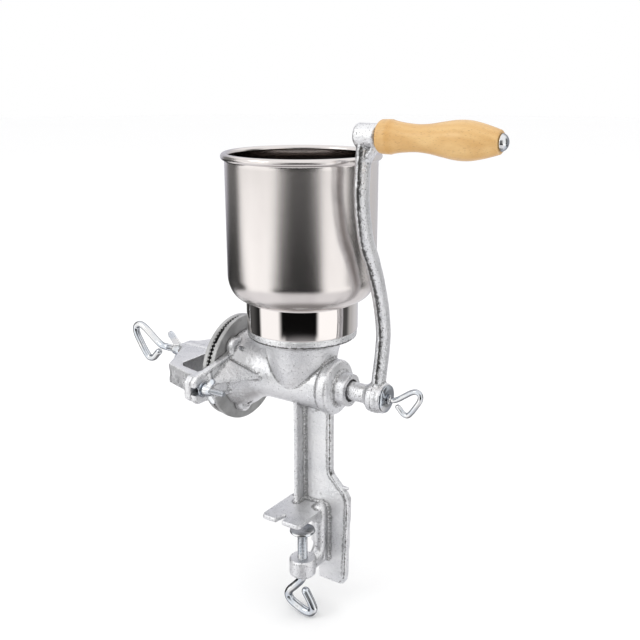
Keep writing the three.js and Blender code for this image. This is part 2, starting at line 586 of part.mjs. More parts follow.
add('crank_arm', cut(join(armBar, hub, topBoss), hubSquare, pinBore), casting);

const THUMB_WASHER_X0 = HUB_X1 + FIT;
const THUMB_WASHER_X1 = THUMB_WASHER_X0 + 2.2;
add('crank_washer', turnedX([
  [THUMB_WASHER_X0, THUMB_R + 0.4], [THUMB_WASHER_X0, 12.4], [THUMB_WASHER_X0 + 1, 12.6],
  [THUMB_WASHER_X1, 9.5], [THUMB_WASHER_X1, THUMB_R + 0.4], [THUMB_WASHER_X0, THUMB_R + 0.4],
], 24), plated);
const THUMB_EYE_X = 98;
const THUMB_EYE = 28;
const THUMB_LENGTH = THUMB_EYE_X - HUB_X1 + 17;
const thumbCollar = [
  [THUMB_WASHER_X1 + FIT - THUMB_EYE_X, THUMB_R], [THUMB_WASHER_X1 + FIT - THUMB_EYE_X, 4.4],
  [THUMB_WASHER_X1 + 1.8 - THUMB_EYE_X, 4.4], [THUMB_WASHER_X1 + 2.4 - THUMB_EYE_X, THUMB_R],
];
add('crank_thumb_screw', eyeScrew(
  at(THUMB_EYE_X, 0, SHAFT_Z), THUMB_R, THUMB_LENGTH, THUMB_R + 0.1, CLOSED_EYE, THUMB_EYE, thumbCollar,
), plated);

// ---- Handle: turned wood that spins on a riveted pin -------------------------------------------------------
const GRIP_Z = SHAFT_Z + GRIP_DZ;
const gripLength = GRIP_X1 - GRIP_X0;
// Radius of the wood along its length: collar, step, waist, swell and tapered end.
const GRIP_PROFILE = [
  [0, 11.5], [0.015, 13.2], [0.1, 13.4], [0.13, 12.6], [0.2, 11.4], [0.32, 10.5], [0.42, 11.1],
  [0.54, 13.1], [0.66, 14.8], [0.76, 14.7], [0.86, 12.8], [0.94, 10.6], [0.985, 9.2], [1, 8.2],
];
const gripPoints = GRIP_PROFILE.map(([t, r]) => [GRIP_X0 + t * gripLength, r]);
const gripBore = PIN_R + 0.4;
add('handle_grip', turnedX([
  [GRIP_X0, gripBore], ...gripPoints, [GRIP_X1, gripBore], [GRIP_X0, gripBore],
], 24, GRIP_Y, GRIP_Z), wood);
add('handle_washer', ringX(TOP_BOSS_X1 + FIT, GRIP_X0 - FIT, PIN_R + 0.35, 8.6, 20, GRIP_Y, GRIP_Z), plated);
const PIN_HEAD_X = GRIP_X1 + FIT;
add('handle_pin', turnedX([
  [TOP_BOSS_X0 - 2, 0], [TOP_BOSS_X0 - 1.8, 2.6], [TOP_BOSS_X0 - 0.8, 4.8], [TOP_BOSS_X0 - FIT, 5.2],
  [TOP_BOSS_X0 - FIT, PIN_R], [PIN_HEAD_X, PIN_R], [PIN_HEAD_X, 6.6], [PIN_HEAD_X + 1.6, 6.6],
  [PIN_HEAD_X + 3.6, 5.2], [PIN_HEAD_X + 4.8, 2.8], [PIN_HEAD_X + 5.2, 0],
], 24, GRIP_Y, GRIP_Z), plated);

// ---- Table clamp ---------------------------------------------------------------------------------------------
const PAD_H = 4.5;
const PAD_STUD_R = 3;            // the screw's turned-down tip that the pad swivels on
const padBottom = PAD_TOP - PAD_H;
add('clamp_pad', turnedZ([
  [0, PAD_TOP - 1], [PAD_STUD_R + FIT, PAD_TOP - 1], [PAD_STUD_R + FIT, padBottom], [7.5, padBottom],
  [11.8, padBottom + 1.6], [11.8, PAD_TOP - 0.6], [11.2, PAD_TOP], [0, PAD_TOP],
], 24, CLAMP_X, CLAMP_Y), plated);
const CLAMP_EYE = 37;
const CLAMP_EYE_Z = CLAMP_BOSS_TOP - CLAMP_BOSS_H - 4;
const screwTip = turnedZ([
  [0, padBottom - 3], [PAD_STUD_R, padBottom - 3], [PAD_STUD_R, PAD_TOP - 1 - FIT], [0, PAD_TOP - 1 - FIT],
], 20, CLAMP_X, CLAMP_Y);
const clampScrew = eyeScrew(
  at(CLAMP_X, CLAMP_Y, CLAMP_EYE_Z).multiply(facingDown), CLAMP_SCREW_R, padBottom - FIT - CLAMP_EYE_Z,
  4, OPEN_EYE, CLAMP_EYE,
);
add('clamp_screw', join(clampScrew, screwTip), plated);

export default mill;
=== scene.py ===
"""Hand-cranked grain mill: finished pieces, finishes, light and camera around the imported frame.

Shapes are drawn in millimetres in the frame's axes and become metres when a piece is made.
"""
import math

import bmesh
import bpy
import numpy as np
from mathutils import Matrix, Vector, noise


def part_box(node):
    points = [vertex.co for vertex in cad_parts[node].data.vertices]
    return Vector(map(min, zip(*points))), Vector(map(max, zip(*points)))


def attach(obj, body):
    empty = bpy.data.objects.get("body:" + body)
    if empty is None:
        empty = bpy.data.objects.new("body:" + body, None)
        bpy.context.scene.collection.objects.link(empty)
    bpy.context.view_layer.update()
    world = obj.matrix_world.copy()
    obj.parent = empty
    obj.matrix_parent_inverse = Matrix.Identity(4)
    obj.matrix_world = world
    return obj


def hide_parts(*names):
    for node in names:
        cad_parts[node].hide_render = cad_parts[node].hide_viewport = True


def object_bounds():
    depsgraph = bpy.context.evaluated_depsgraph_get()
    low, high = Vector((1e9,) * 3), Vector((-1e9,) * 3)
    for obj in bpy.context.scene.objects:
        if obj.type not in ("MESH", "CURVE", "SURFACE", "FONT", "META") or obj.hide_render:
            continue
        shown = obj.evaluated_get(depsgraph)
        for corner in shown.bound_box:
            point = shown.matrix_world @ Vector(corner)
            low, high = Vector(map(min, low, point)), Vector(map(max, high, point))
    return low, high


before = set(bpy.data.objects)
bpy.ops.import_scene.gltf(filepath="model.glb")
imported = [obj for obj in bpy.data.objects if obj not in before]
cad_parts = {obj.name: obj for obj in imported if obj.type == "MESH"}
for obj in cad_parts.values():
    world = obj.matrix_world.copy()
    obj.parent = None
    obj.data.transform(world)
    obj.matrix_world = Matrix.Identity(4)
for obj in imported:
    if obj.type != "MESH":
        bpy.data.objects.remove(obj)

CAD_BOX = [[float(v) for v in corner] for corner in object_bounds()]
MM = 0.001
MOST_QUADS = 90000
TURN = 2 * math.pi


def span(node):
    """Lowest and highest corner of a node at rest, in millimetres."""
    low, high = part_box(node)
    return Vector(low) / MM, Vector(high) / MM


# ---- Where the frame's parts stand ---------------------------------------------------------------
body_low, body_high = span("mill_body")
ball_low, ball_high = span("thrust_ball")
hopper_low, hopper_high = span("hopper")
fixed_high = span("fixed_burr")[1]
carrier_low, carrier_high = span("burr_carrier")
yoke_low, yoke_high = span("yoke")
arm_low = span("crank_arm")[0]
grip_low, grip_high = span("handle_grip")
pad_low, pad_high = span("clamp_pad")
pin_low = span("handle_pin")[0]
washer_low, washer_high = span("crank_washer")
lock_low, lock_high = span("lock_washer")
turning_low = span("turning_burr")[0]

SHAFT_Z = (ball_low.z + ball_high.z) / 2
FLANGE_X = body_low.x
NOSE_X = body_high.x
FOOT_Z = body_low.z
SEAT_Z = body_high.z - 11
RIM_TOP = hopper_high.z
NECK_Z = hopper_low.z
EAR_Y = body_high.y - 12
EAR_X1 = FLANGE_X + 6
YOKE_X = yoke_low.x
HUB_X0 = arm_low.x
GRIP_X0 = grip_low.x
GRIP_X1 = grip_high.x
GRIP_Y = (grip_low.y + grip_high.y) / 2
GRIP_Z = (grip_low.z + grip_high.z) / 2
ARM_X = HUB_X0 + 11
CLAMP_X = (pad_low.x + pad_high.x) / 2
CLAMP_Y = (pad_low.y + pad_high.y) / 2
HOPPER_R = 67.4
NECK_R = 51
NECK_TOP = 207
SHOULDER_TOP = 230
BEAD_R = 3.2
SHEET = 1
COLUMN_X0 = -8.8
COLUMN_X1 = 33.8
FOOT_X0 = 20.2
FOOT_X1 = 52
BURR_SCREW_R = 34
TURNING_SCREW_R = 30
FIXED_SCREWS = [math.radians(130), math.radians(250), math.radians(10)]
TURNING_SCREWS = [math.radians(90), math.radians(270)]
DRIVE_PIN_X = carrier_low.x + 3.8
YOKE_CORNER_X = -116
YOKE_CORNER_Y = 58
YOKE_INNER_X = -107
ADJUSTER_PITCH = 1.25
YOKE_BOLT_PITCH = 1.0
CRANK_SCREW_PITCH = 1.25
CLAMP_SCREW_PITCH = 1.5
CAMERA_AZIMUTH = math.radians(34)
CAMERA_PITCH = math.radians(16.37)
CAMERA_PLACE = (0.4401, -0.6235, 0.408)
CAMERA_LENS = 48.5


# ---- Writing node trees as arithmetic ------------------------------------------------------------
class Wire:
    """A node's output that can be used in Python arithmetic; each sign adds a Math node."""

    def __init__(self, bench, socket):
        self.bench = bench
        self.socket = socket

    def maths(self, operation, *others):
        values = dict(enumerate((self, *others)))
        return self.bench.put("ShaderNodeMath", {"operation": operation}, values)

    def __add__(self, other):
        return self.maths("ADD", other)

    def __sub__(self, other):
        return self.maths("SUBTRACT", other)

    def __mul__(self, other):
        return self.maths("MULTIPLY", other)

    def __truediv__(self, other):
        return self.maths("DIVIDE", other)

    def __rsub__(self, other):
        return self.bench.put("ShaderNodeMath", {"operation": "SUBTRACT"}, {0: other, 1: self})

    __radd__ = __add__
    __rmul__ = __mul__

    def step(self, low, high):
        """0 below low, 1 above high, smooth between; high under low turns it round."""
        ends = {"Value": self, "From Min": low, "From Max": high}
        return self.bench.put("ShaderNodeMapRange", {"interpolation_type": "SMOOTHSTEP"}, ends)

    def clip(self):
        return self.bench.put("ShaderNodeClamp", {}, {"Value": self})


class Bench:
    """Adds nodes to one tree."""

    def __init__(self, tree):
        self.tree = tree

    def put(self, kind, settings=None, values=None, out=0):
        node = self.tree.nodes.new(kind)
        for name, value in (settings or {}).items():
            if name == "stops":
                self.set_stops(node.color_ramp, value)
            elif name == "ramp_interpolation":
                node.color_ramp.interpolation = value
            else:
                setattr(node, name, value)
        for name, value in (values or {}).items():
            if isinstance(value, Wire):
                self.tree.links.new(value.socket, node.inputs[name])
            else:
                node.inputs[name].default_value = value
        return Wire(self, node.outputs[out]) if len(node.outputs) else None

    @staticmethod
    def set_stops(ramp, stops):
        while len(ramp.elements) < len(stops):
            ramp.elements.new(1.0)
        for element, (place, shade) in zip(ramp.elements, stops):
            element.position = place
            element.color = (*shade, 1) if isinstance(shade, tuple) else (shade, shade, shade, 1)

    def parts(self, vector):
        """The three numbers of a vector."""
        node = self.put("ShaderNodeSeparateXYZ", {}, {0: vector}).socket.node
        return [Wire(self, socket) for socket in node.outputs]

    def vector(self, x, y, z):
        return self.put("ShaderNodeCombineXYZ", {}, {0: x, 1: y, 2: z})

    def mix(self, share, first, second):
        """Colour that runs from first to second."""
        def colour(value):
            return value if isinstance(value, Wire) else (*value, 1)
        values = {0: share, 6: colour(first), 7: colour(second)}
        return self.put("ShaderNodeMix", {"data_type": "RGBA"}, values, out=2)

    def noise(self, place, scale, detail=3.0, roughness=0.5):
        values = {"Vector": place, "Scale": scale, "Detail": detail, "Roughness": roughness}
        return self.put("ShaderNodeTexNoise", {}, values)


# ---- Finishes ------------------------------------------------------------------------------------
def finish(name, **constants):
    """A new material: its bench, its object coordinates, and a function that wires the shader."""
    material = bpy.data.materials.new(name)
    material.use_nodes = True
    material.node_tree.nodes.clear()
    bench = Bench(material.node_tree)
    shader = bench.put("ShaderNodeBsdfPrincipled", {}, constants)
    bench.put("ShaderNodeOutputMaterial", {}, {"Surface": shader})
    place = bench.put("ShaderNodeTexCoord", {}, {}, out=3)

    def wire(**channels):
        for channel, value in channels.items():
            socket = shader.socket.node.inputs[channel.replace("_", " ")]
            bench.tree.links.new(value.socket, socket)

    return material, bench, place, wire


def bump(bench, height, distance, strength=1.0):
    return bench.put("ShaderNodeBump", {}, {"Height": height, "Distance": distance, "Strength": strength})


def noted(bench, name):
    """A share that was stored on the mesh, point by point."""
    return bench.put("ShaderNodeAttribute", {"attribute_name": name}, {}, out=2)


def tinned_iron():
    """Sand-cast iron under a bright dip of tin: pebbled, with painted shade in its creases, a painted dark
    reflection along the mould's seam, and painted shade in its hollows."""
    material, b, place, wire = finish("tinned_iron", Metallic=1.0)
    grain = b.noise(place, 900, 3, 0.6)
    pebble = b.noise(place, 420, 2, 0.5)
    patch = b.noise(place, 38, 3, 0.5)
    relief = noted(b, "relief")
    seam = noted(b, "seam")
    # Share of painted shade inside hollows: throat, barrel and the yoke's bow.
    soot = noted(b, "soot")
    # Painted shade: concave points of the casting are darkened as if shade fell in its creases.
    crease = relief.step(0.54, 0.72) * grain.step(0.36, 0.54)
    specks = grain.step(0.58, 0.66) * relief.step(0.485, 0.40)
    pits = grain.step(0.64, 0.70) * 0.5
    # Painted dark reflection along the mould's seam, placed by the seam share.
    seam_dark_reflection = ((seam * 1.1 + grain * 0.9 + pebble * 1.5) * 2.4 - 4.1).clip() * seam.step(0.02, 0.2)
    dark = (crease * 0.7 + specks * 0.8 + seam_dark_reflection * 0.95 + pits + soot * (0.55 + patch * 0.5)).clip()
    tin = b.mix(patch.step(0.3, 0.7), (0.78, 0.785, 0.80), (0.90, 0.90, 0.905))
    wire(Base_Color=b.mix(dark, tin, (0.09, 0.088, 0.085)),
         Roughness=0.19 + patch * 0.08 + grain * 0.12,
         Normal=bump(b, grain * 0.6 + pebble * 0.8 + patch * 0.7, 0.0010, 0.7))
    return material


def drawn_steel():
    """Stainless sheet: blasted satin body, bright rolled rim, mirror neck, painted shade inside."""
    material, b, place, wire = finish("drawn_steel", Metallic=1.0)
    x, y, z = b.parts(place)
    radius = (x * x + y * y).maths("SQRT")
    blast = b.noise(place, 1500, 2, 0.6)
    smudge = b.noise(b.vector(x, y, z * 0.35), 22, 3, 0.55)
    neck = z.step((NECK_TOP - 0.3) * MM, (NECK_TOP - 1.4) * MM)
    rim = z.step((RIM_TOP - 10.6) * MM, (RIM_TOP - 8.2) * MM)
    body = z.step((SHOULDER_TOP - 0.5) * MM, (SHOULDER_TOP + 0.5) * MM)
    # Painted shade on the hopper's inner wall above the shoulder and below the rim.
    inside = radius.step((HOPPER_R - 0.4) * MM, (HOPPER_R - 0.9) * MM) * body * (1 - rim)
    satin = b.mix(smudge.step(0.3, 0.7), (0.68, 0.64, 0.62), (0.75, 0.71, 0.69))
    painted_inside_shade = b.mix(inside, satin, (0.27, 0.235, 0.22))
    wire(Base_Color=b.mix((neck + rim * 0.7).clip(), painted_inside_shade, (0.74, 0.70, 0.68)),
         Roughness=0.15 + smudge * 0.05 - neck * 0.13 - rim * 0.05,
         Normal=bump(b, blast * (1 - neck), 0.00009, 0.6))
    return material


def zinc_plate():
    """Bright zinc plating with faint rub marks, and a painted dark reflection where it turns away from the
    eye.
    """
    material, b, place, wire = finish("zinc_plate", Metallic=1.0)
    rub = b.noise(place, 260, 4, 0.65)
    cloud = b.noise(place, 70, 2, 0.5)
    tint = b.mix(cloud.step(0.35, 0.65), (0.62, 0.655, 0.70), (0.78, 0.78, 0.775))
    worn = b.mix(rub.step(0.62, 0.75) * 0.5, tint, (0.34, 0.34, 0.35))
    # Painted dark reflection on the faces that turn away from the camera.
    grazing_dark_reflection = b.put("ShaderNodeLayerWeight", {}, {"Blend": 0.5}, out=1).step(0.30, 0.72)
    wire(Base_Color=b.mix(grazing_dark_reflection * 0.85, worn, (0.07, 0.085, 0.115)),
         Roughness=0.05 + rub * 0.14,
         Normal=bump(b, rub, 0.00012, 0.35))
    return material


def dark_spring_steel():
    """Oiled, browned steel of the washer under the lock nut."""
    material, b, place, wire = finish("dark_spring_steel", Metallic=0.9)
    rust = b.noise(place, 420, 4, 0.7)
    wire(Base_Color=b.mix(rust.step(0.4, 0.62), (0.085, 0.075, 0.07), (0.24, 0.15, 0.11)),
         Roughness=0.38 + rust * 0.25,
         Normal=bump(b, rust, 0.0002, 0.6))
    return material


def ground_iron():
    """Hard iron of the burrs: turned rim, ground faces, darker in random patches."""
    material, b, place, wire = finish("ground_iron", Metallic=0.95)
    x, y, z = b.parts(place)
    height = z - SHAFT_Z * MM
    radius = (y * y + height * height).maths("SQRT")
    turning = b.noise(b.vector(radius, x, 0.0), 2600, 2, 0.5)
    skin = b.noise(place, 300, 4, 0.6)
    stain = b.noise(place, 60, 3, 0.5)
    tone = b.mix(stain.step(0.35, 0.65), (0.40, 0.40, 0.395), (0.56, 0.56, 0.555))
    wire(Base_Color=b.mix(skin.step(0.6, 0.74) * 0.6, tone, (0.22, 0.21, 0.20)),
         Roughness=0.30 + turning * 0.12 + skin * 0.14,
         Normal=bump(b, turning * 0.6 + skin * 0.5, 0.00025, 0.5))
    return material


def varnished_beech():
    """Pale turned hardwood under clear varnish: long grain, short pores, warmer past the collar."""
    material, b, place, wire = finish("varnished_beech", **{"Coat Weight": 0.35, "Coat Roughness": 0.22})
    x, y, z = b.parts(place)
    across = y - GRIP_Y * MM
    height = z - GRIP_Z * MM
    warp = b.noise(b.vector(x * 0.35, across, height), 55, 3, 0.5)
    ring = ((across * 0.9 + height * 0.5 + warp * 0.011 + x * 0.05) * 1150).maths("SINE") * 0.5 + 0.5
    fibre = b.noise(b.vector(x * 0.06, across, height), 1500, 3, 0.6)
    flame = b.noise(b.vector(x * 0.4, across, height), 48, 4, 0.6)
    pores = b.noise(b.vector(x * 0.14, across, height), 2100, 1, 0.4).step(0.64, 0.70)
    pale = b.mix(flame.step(0.32, 0.68), (0.62, 0.355, 0.120), (0.745, 0.490, 0.205))
    grained = b.mix(ring * 0.34 + fibre * 0.22, pale, (0.60, 0.335, 0.105))
    past_collar = x.step((GRIP_X0 + 8) * MM, (GRIP_X0 + 10) * MM)
    near_collar = x.step((GRIP_X0 + 17.5) * MM, (GRIP_X0 + 11.5) * MM)
    warm = b.mix(near_collar * past_collar * 0.45, grained, (0.60, 0.32, 0.085))
    wire(Base_Color=b.mix(pores * 0.45, warm, (0.30, 0.145, 0.045)),
         Roughness=0.36 + fibre * 0.12,
         Normal=bump(b, fibre * 0.5 - pores * 0.8, 0.00012, 0.5))
    return material


TINNED = tinned_iron()
STEEL = drawn_steel()
ZINC = zinc_plate()
SPRING = dark_spring_steel()
GROUND = ground_iron()
BEECH = varnished_beech()


# ---- Shape tools ---------------------------------------------------------------------------------
def solid(verts, faces):
    """A closed object from points in millimetres."""
    mesh = bpy.data.meshes.new("solid")
    mesh.from_pydata([tuple(float(c) * MM for c in v) for v in verts], [], faces)
    shape = bmesh.new()
    shape.from_mesh(mesh)
    bmesh.ops.remove_doubles(shape, verts=shape.verts, dist=2e-7)
    bmesh.ops.dissolve_degenerate(shape, edges=shape.edges, dist=1e-7)
    bmesh.ops.recalc_face_normals(shape, faces=shape.faces)
    shape.to_mesh(mesh)
    shape.free()
    made = bpy.data.objects.new("solid", mesh)
    bpy.context.scene.collection.objects.link(made)
    return made


def rings(loops, closed):
    """Faces between loops of equal count; closed also joins the last loop to the first."""
    count = len(loops[0])
    verts = [point for loop in loops for point in loop]
    faces = []
    for i in range(len(loops) if closed else len(loops) - 1):
        j = (i + 1) % len(loops)
        for k in range(count):
            m = (k + 1) % count
            faces.append((i * count + k, i * count + m, j * count + m, j * count + k))
    return verts, faces


def lathe(profile, axis="X", centre=(0.0, SHAFT_Z), sides=64):
    """Turned solid. The profile is (place along the axis, radius) pairs; it ends on the axis, or
    comes back to its start round a bore."""
    closed = tuple(profile[0]) == tuple(profile[-1])
    loops = []
    for along, radius in profile[:-1] if closed else profile:
        loop = []
        for k in range(sides):
            a = TURN * k / sides
            p, q = centre[0] + radius * math.cos(a), centre[1] + radius * math.sin(a)
            loop.append((along, p, q) if axis == "X" else (p, q, along))
        loops.append(loop)
    return solid(*rings(loops, closed))


def rod(start, end, radius, axis="X", centre=(0.0, SHAFT_Z), sides=48):
    return lathe([(start, 0), (start, radius), (end, radius), (end, 0)], axis, centre, sides)


def prism(outline, axis, low, high):
    """Plate between two planes. The outline is (y, z), (x, z) or (x, y) for the axes X, Y, Z."""
    place = {"X": lambda a, b, c: (c, a, b),
             "Y": lambda a, b, c: (a, c, b),
             "Z": lambda a, b, c: (a, b, c)}[axis]
    count = len(outline)
    verts = [place(a, b, low) for a, b in outline] + [place(a, b, high) for a, b in outline]
    faces = [tuple(range(count)), tuple(range(2 * count - 1, count - 1, -1))]
    faces += [(k, (k + 1) % count, count + (k + 1) % count, count + k) for k in range(count)]
    return solid(verts, faces)


def block(x0, x1, y0, y1, z0, z1):
    return prism([(x0, y0), (x1, y0), (x1, y1), (x0, y1)], "Z", z0, z1)


def smooth_line(points, count, per_stretch=24):
    """Evenly stepped points on the smooth curve through the given points."""
    pts = [np.array(p, float) for p in points]
    pts = [2 * pts[0] - pts[1]] + pts + [2 * pts[-1] - pts[-2]]
    line = []
    for p0, p1, p2, p3 in zip(pts, pts[1:], pts[2:], pts[3:]):
        t1 = np.linalg.norm(p1 - p0) ** 0.5
        t2 = t1 + np.linalg.norm(p2 - p1) ** 0.5
        t3 = t2 + np.linalg.norm(p3 - p2) ** 0.5
        for t in np.linspace(t1, t2, per_stretch, endpoint=False):
            a1 = (t1 - t) / t1 * p0 + t / t1 * p1
            a2 = (t2 - t) / (t2 - t1) * p1 + (t - t1) / (t2 - t1) * p2
            a3 = (t3 - t) / (t3 - t2) * p2 + (t - t2) / (t3 - t2) * p3
            b1 = (t2 - t) / t2 * a1 + t / t2 * a2
            b2 = (t3 - t) / (t3 - t1) * a2 + (t - t1) / (t3 - t1) * a3
            line.append((t2 - t) / (t2 - t1) * b1 + (t - t1) / (t2 - t1) * b2)
    line.append(pts[-2])
    line = np.array(line)
    steps = np.concatenate([[0], np.cumsum(np.linalg.norm(np.diff(line, axis=0), axis=1))])
    even = np.linspace(0, steps[-1], count)
    return np.stack([np.interp(even, steps, line[:, i]) for i in range(3)], axis=1)


def swept(points, across, half_a, half_b, steps=90, sides=28, round_end=True):
    """Rod of elliptic section along a smooth line; half_a lies along the across direction. The caps
    are (share of the section, shift along the line) pairs."""
    line = smooth_line(points, steps)
    across = np.array(across, float)
    tangents = np.gradient(line, axis=0)
    loops = []
    caps = [(0.0, -1.0), (0.4, -0.92), (0.72, -0.69), (0.92, -0.38)]
    small = min(half_a, half_b)
    stations = [(0, share, shift) for share, shift in caps] if round_end else [(0, 0.0, 0.0)]
    stations += [(i, 1.0, 0.0) for i in range(steps)]
    last = [(steps - 1, share, -shift) for share, shift in reversed(caps)]
    stations += last if round_end else [(steps - 1, 0.0, 0.0)]
    for i, share, shift in stations:
        t = tangents[i] / np.linalg.norm(tangents[i])
        a = across - t * across.dot(t)
        a /= np.linalg.norm(a)
        b = np.cross(t, a)
        middle = line[i] + t * shift * small
        loops.append([tuple(middle + share * (half_a * math.cos(TURN * k / sides) * a
                                              + half_b * math.sin(TURN * k / sides) * b))
                      for k in range(sides)])
    return solid(*rings(loops, False))


def drop(*things):
    for thing in things:
        mesh = thing.data
        bpy.data.objects.remove(thing)
        bpy.data.meshes.remove(mesh)


def settled(thing):
    """The object with its modifiers worked into its mesh."""
    bpy.context.view_layer.update()
    grown = thing.evaluated_get(bpy.context.evaluated_depsgraph_get())
    old = thing.data
    mesh = bpy.data.meshes.new_from_object(grown)
    thing.modifiers.clear()
    thing.data = mesh
    bpy.data.meshes.remove(old)
    return thing


def shaped(thing, kind, **settings):
    modifier = thing.modifiers.new("shape", kind)
    for name, value in settings.items():
        setattr(modifier, name, value)
    return settled(thing)


def gathered(things):
    """One object that holds all the meshes as they are."""
    shape = bmesh.new()
    for thing in things:
        shape.from_mesh(thing.data)
    shape.to_mesh(things[0].data)
    shape.free()
    drop(*things[1:])
    return things[0]


def bored(base, cutters, operation="DIFFERENCE"):
    """Cuts closed solids out of the base, or welds them on."""
    for cutter in cutters:
        shaped(base, "BOOLEAN", solver="MANIFOLD", operation=operation, object=cutter)
        drop(cutter)
    return base


def welded(things):
    return bored(things[0], things[1:], "UNION")


def cast(metal, hollows, voxel, rounding, bores=(), skin=0.0):
    """A casting: solids run together with filleted corners, hollows with rounded edges, then
    machined bores with sharp ones. Skin is the depth of the sand's mark."""
    piece = shaped(gathered(metal), "REMESH", mode="VOXEL", voxel_size=voxel * MM)
    if hollows:
        bored(piece, hollows)
        shaped(piece, "REMESH", mode="VOXEL", voxel_size=voxel * MM)
    shaped(piece, "SMOOTH", factor=0.5, iterations=rounding)
    if len(piece.data.polygons) > MOST_QUADS:
        shaped(piece, "DECIMATE", ratio=MOST_QUADS / len(piece.data.polygons))
    if skin:
        roughen(piece, skin)
    return bored(piece, bores)


def surface_of(piece):
    """Points and normals of a piece as two arrays."""
    count = len(piece.data.vertices)
    read = []
    for kind in ("co", "normal"):
        values = np.empty(count * 3)
        piece.data.vertices.foreach_get(kind, values)
        read.append(values.reshape(-1, 3))
    return read


def roughen(piece, depth):
    """Moves points in and out as a sand mould leaves them."""
    coarse, fine = 240, 520
    place, normal = surface_of(piece)
    lumps = [noise.noise(coarse * Vector(p)) + 0.6 * noise.noise(fine * Vector(p)) for p in place.tolist()]
    place += normal * np.array(lumps)[:, None] * depth * MM
    piece.data.vertices.foreach_set("co", place.ravel())
    piece.data.update()


def note_relief(piece):
    """Stores how hollow (towards 1) or proud (towards 0) the surface is at each point, and returns
    the points."""
    full = 0.16 * MM
    mesh = piece.data
    count = len(mesh.vertices)
    place, normal = surface_of(piece)
    ends = np.empty(len(mesh.edges) * 2, int)
    mesh.edges.foreach_get("vertices", ends)
    first, second = ends[0::2], ends[1::2]
    near = np.maximum(np.bincount(first, minlength=count) + np.bincount(second, minlength=count), 1)

    def around(values):
        forward = np.bincount(first, values[second], count)
        return (forward + np.bincount(second, values[first], count)) / near

    bend = sum((around(place[:, i]) - place[:, i]) * normal[:, i] for i in range(3))
    for _ in range(2):
        bend = (bend + around(bend)) / 2
    attribute = mesh.attributes.new("relief", "FLOAT", "POINT")
    attribute.data.foreach_set("value", np.clip(0.5 + bend / full, 0, 1).astype(np.float32))
    return place


def note_share(piece, name, shares):
    """Stores one number from 0 to 1 for each point."""
    attribute = piece.data.attributes.new(name, "FLOAT", "POINT")
    attribute.data.foreach_set("value", np.asarray(shares).astype(np.float32))


def fit(piece, name, body, node, material, crease=32):
    """Names a finished piece, gives it its material and hands it to the frame."""
    piece.name = name
    piece.data.name = name
    piece.data.materials.clear()
    piece.data.materials.append(material)
    piece.data.polygons.foreach_set("use_smooth", [True] * len(piece.data.polygons))
    piece.data.set_sharp_from_angle(angle=math.radians(crease))
    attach(piece, body)
    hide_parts(node)
    return piece


# ---- Geometry Nodes: what repeats or winds -------------------------------------------------------
def node_shape(name, build, inputs):
    """Tree with named number inputs; build returns the geometry. The result is a plain mesh of
    closed solids."""
    tree = bpy.data.node_groups.new(name, "GeometryNodeTree")
    tree.interface.new_socket(name="Geometry", in_out="OUTPUT", socket_type="NodeSocketGeometry")
    kinds = {int: "NodeSocketInt", float: "NodeSocketFloat"}
    sockets = {key: tree.interface.new_socket(name=key, in_out="INPUT", socket_type=kinds[type(value)])
               for key, value in inputs.items()}
    bench = Bench(tree)
    source = tree.nodes.new("NodeGroupInput")
    geometry = build(bench, {key: Wire(bench, source.outputs[key]) for key in inputs})
    real = bench.put("GeometryNodeRealizeInstances", {}, {0: geometry})
    coated = bench.put("GeometryNodeSetMaterial", {}, {"Geometry": real, "Material": ZINC})
    bench.put("NodeGroupOutput", {}, {0: coated})
    host = bpy.data.objects.new(name, bpy.data.meshes.new(name))
    bpy.context.scene.collection.objects.link(host)
    modifier = host.modifiers.new(name, "NODES")
    modifier.node_group = tree
    for key, socket in sockets.items():
        modifier[socket.identifier] = inputs[key]
    settled(host)
    shape = bmesh.new()
    shape.from_mesh(host.data)
    bmesh.ops.remove_doubles(shape, verts=shape.verts, dist=1e-7)
    bmesh.ops.dissolve_degenerate(shape, edges=shape.edges, dist=1e-8)
    bmesh.ops.recalc_face_normals(shape, faces=shape.faces)
    shape.to_mesh(host.data)
    shape.free()
    return host


def wound_rod(b, given):
    """Rod along +X whose surface rises in a helix: a screw thread or a worm's flight."""
    steps = given["Steps"]
    grid = b.put("GeometryNodeMeshGrid", {}, {
        "Size X": 1.0, "Size Y": 1.0, "Vertices X": steps, "Vertices Y": given["Sides"]})
    x, y, _ = b.parts(b.put("GeometryNodeInputPosition"))
    share = ((x + 0.5) * (steps - 1) - 1) / (steps - 3)
    inside = share.maths("GREATER_THAN", -0.0001) * share.maths("LESS_THAN", 1.0001)
    along = share.clip() * given["Length"]
    round_share = y + 0.5
    phase = (along / given["Pitch"] - round_share).maths("FRACT")
    off = (phase - 0.5).maths("ABSOLUTE")
    lift = ((given["Land"] * 0.5 + given["Flank"] - off) / given["Flank"]).clip()
    fade = (along.maths("MINIMUM", given["Length"] - along) / given["Run out"]).clip()
    radius = (given["Root"] + (given["Crest"] - given["Root"]) * lift * fade) * inside
    angle = round_share * TURN
    place = b.vector(along, radius * angle.maths("COSINE"), radius * angle.maths("SINE"))
    return b.put("GeometryNodeSetPosition", {}, {"Geometry": grid, "Position": place})


def ring_of_teeth(b, given):
    """Wedge teeth standing on a burr's face, spread round the X axis."""
    size = b.vector(given["Height"], given["Width"], given["Length"])
    tooth = b.put("GeometryNodeMeshCube", {}, {"Size": size})
    x, y, z = b.parts(b.put("GeometryNodeInputPosition"))
    narrow = 1 - (x * given["Side"] / given["Height"] + 0.5) * 0.62
    fanned = y * narrow * (1 + z / given["Length"] * 0.35)
    stood = b.put("GeometryNodeSetPosition", {}, {
        "Geometry": tooth, "Position": b.vector(x, fanned, z + given["Middle"])})
    spots = b.put("GeometryNodeMeshLine", {}, {"Count": given["Count"], "Offset": (0.0, 0.0, 0.0)})
    turn = b.put("GeometryNodeInputIndex") / given["Count"] * TURN
    return b.put("GeometryNodeInstanceOnPoints", {}, {
        "Points": spots, "Instance": stood, "Rotation": b.vector(turn, 0.0, 0.0)})


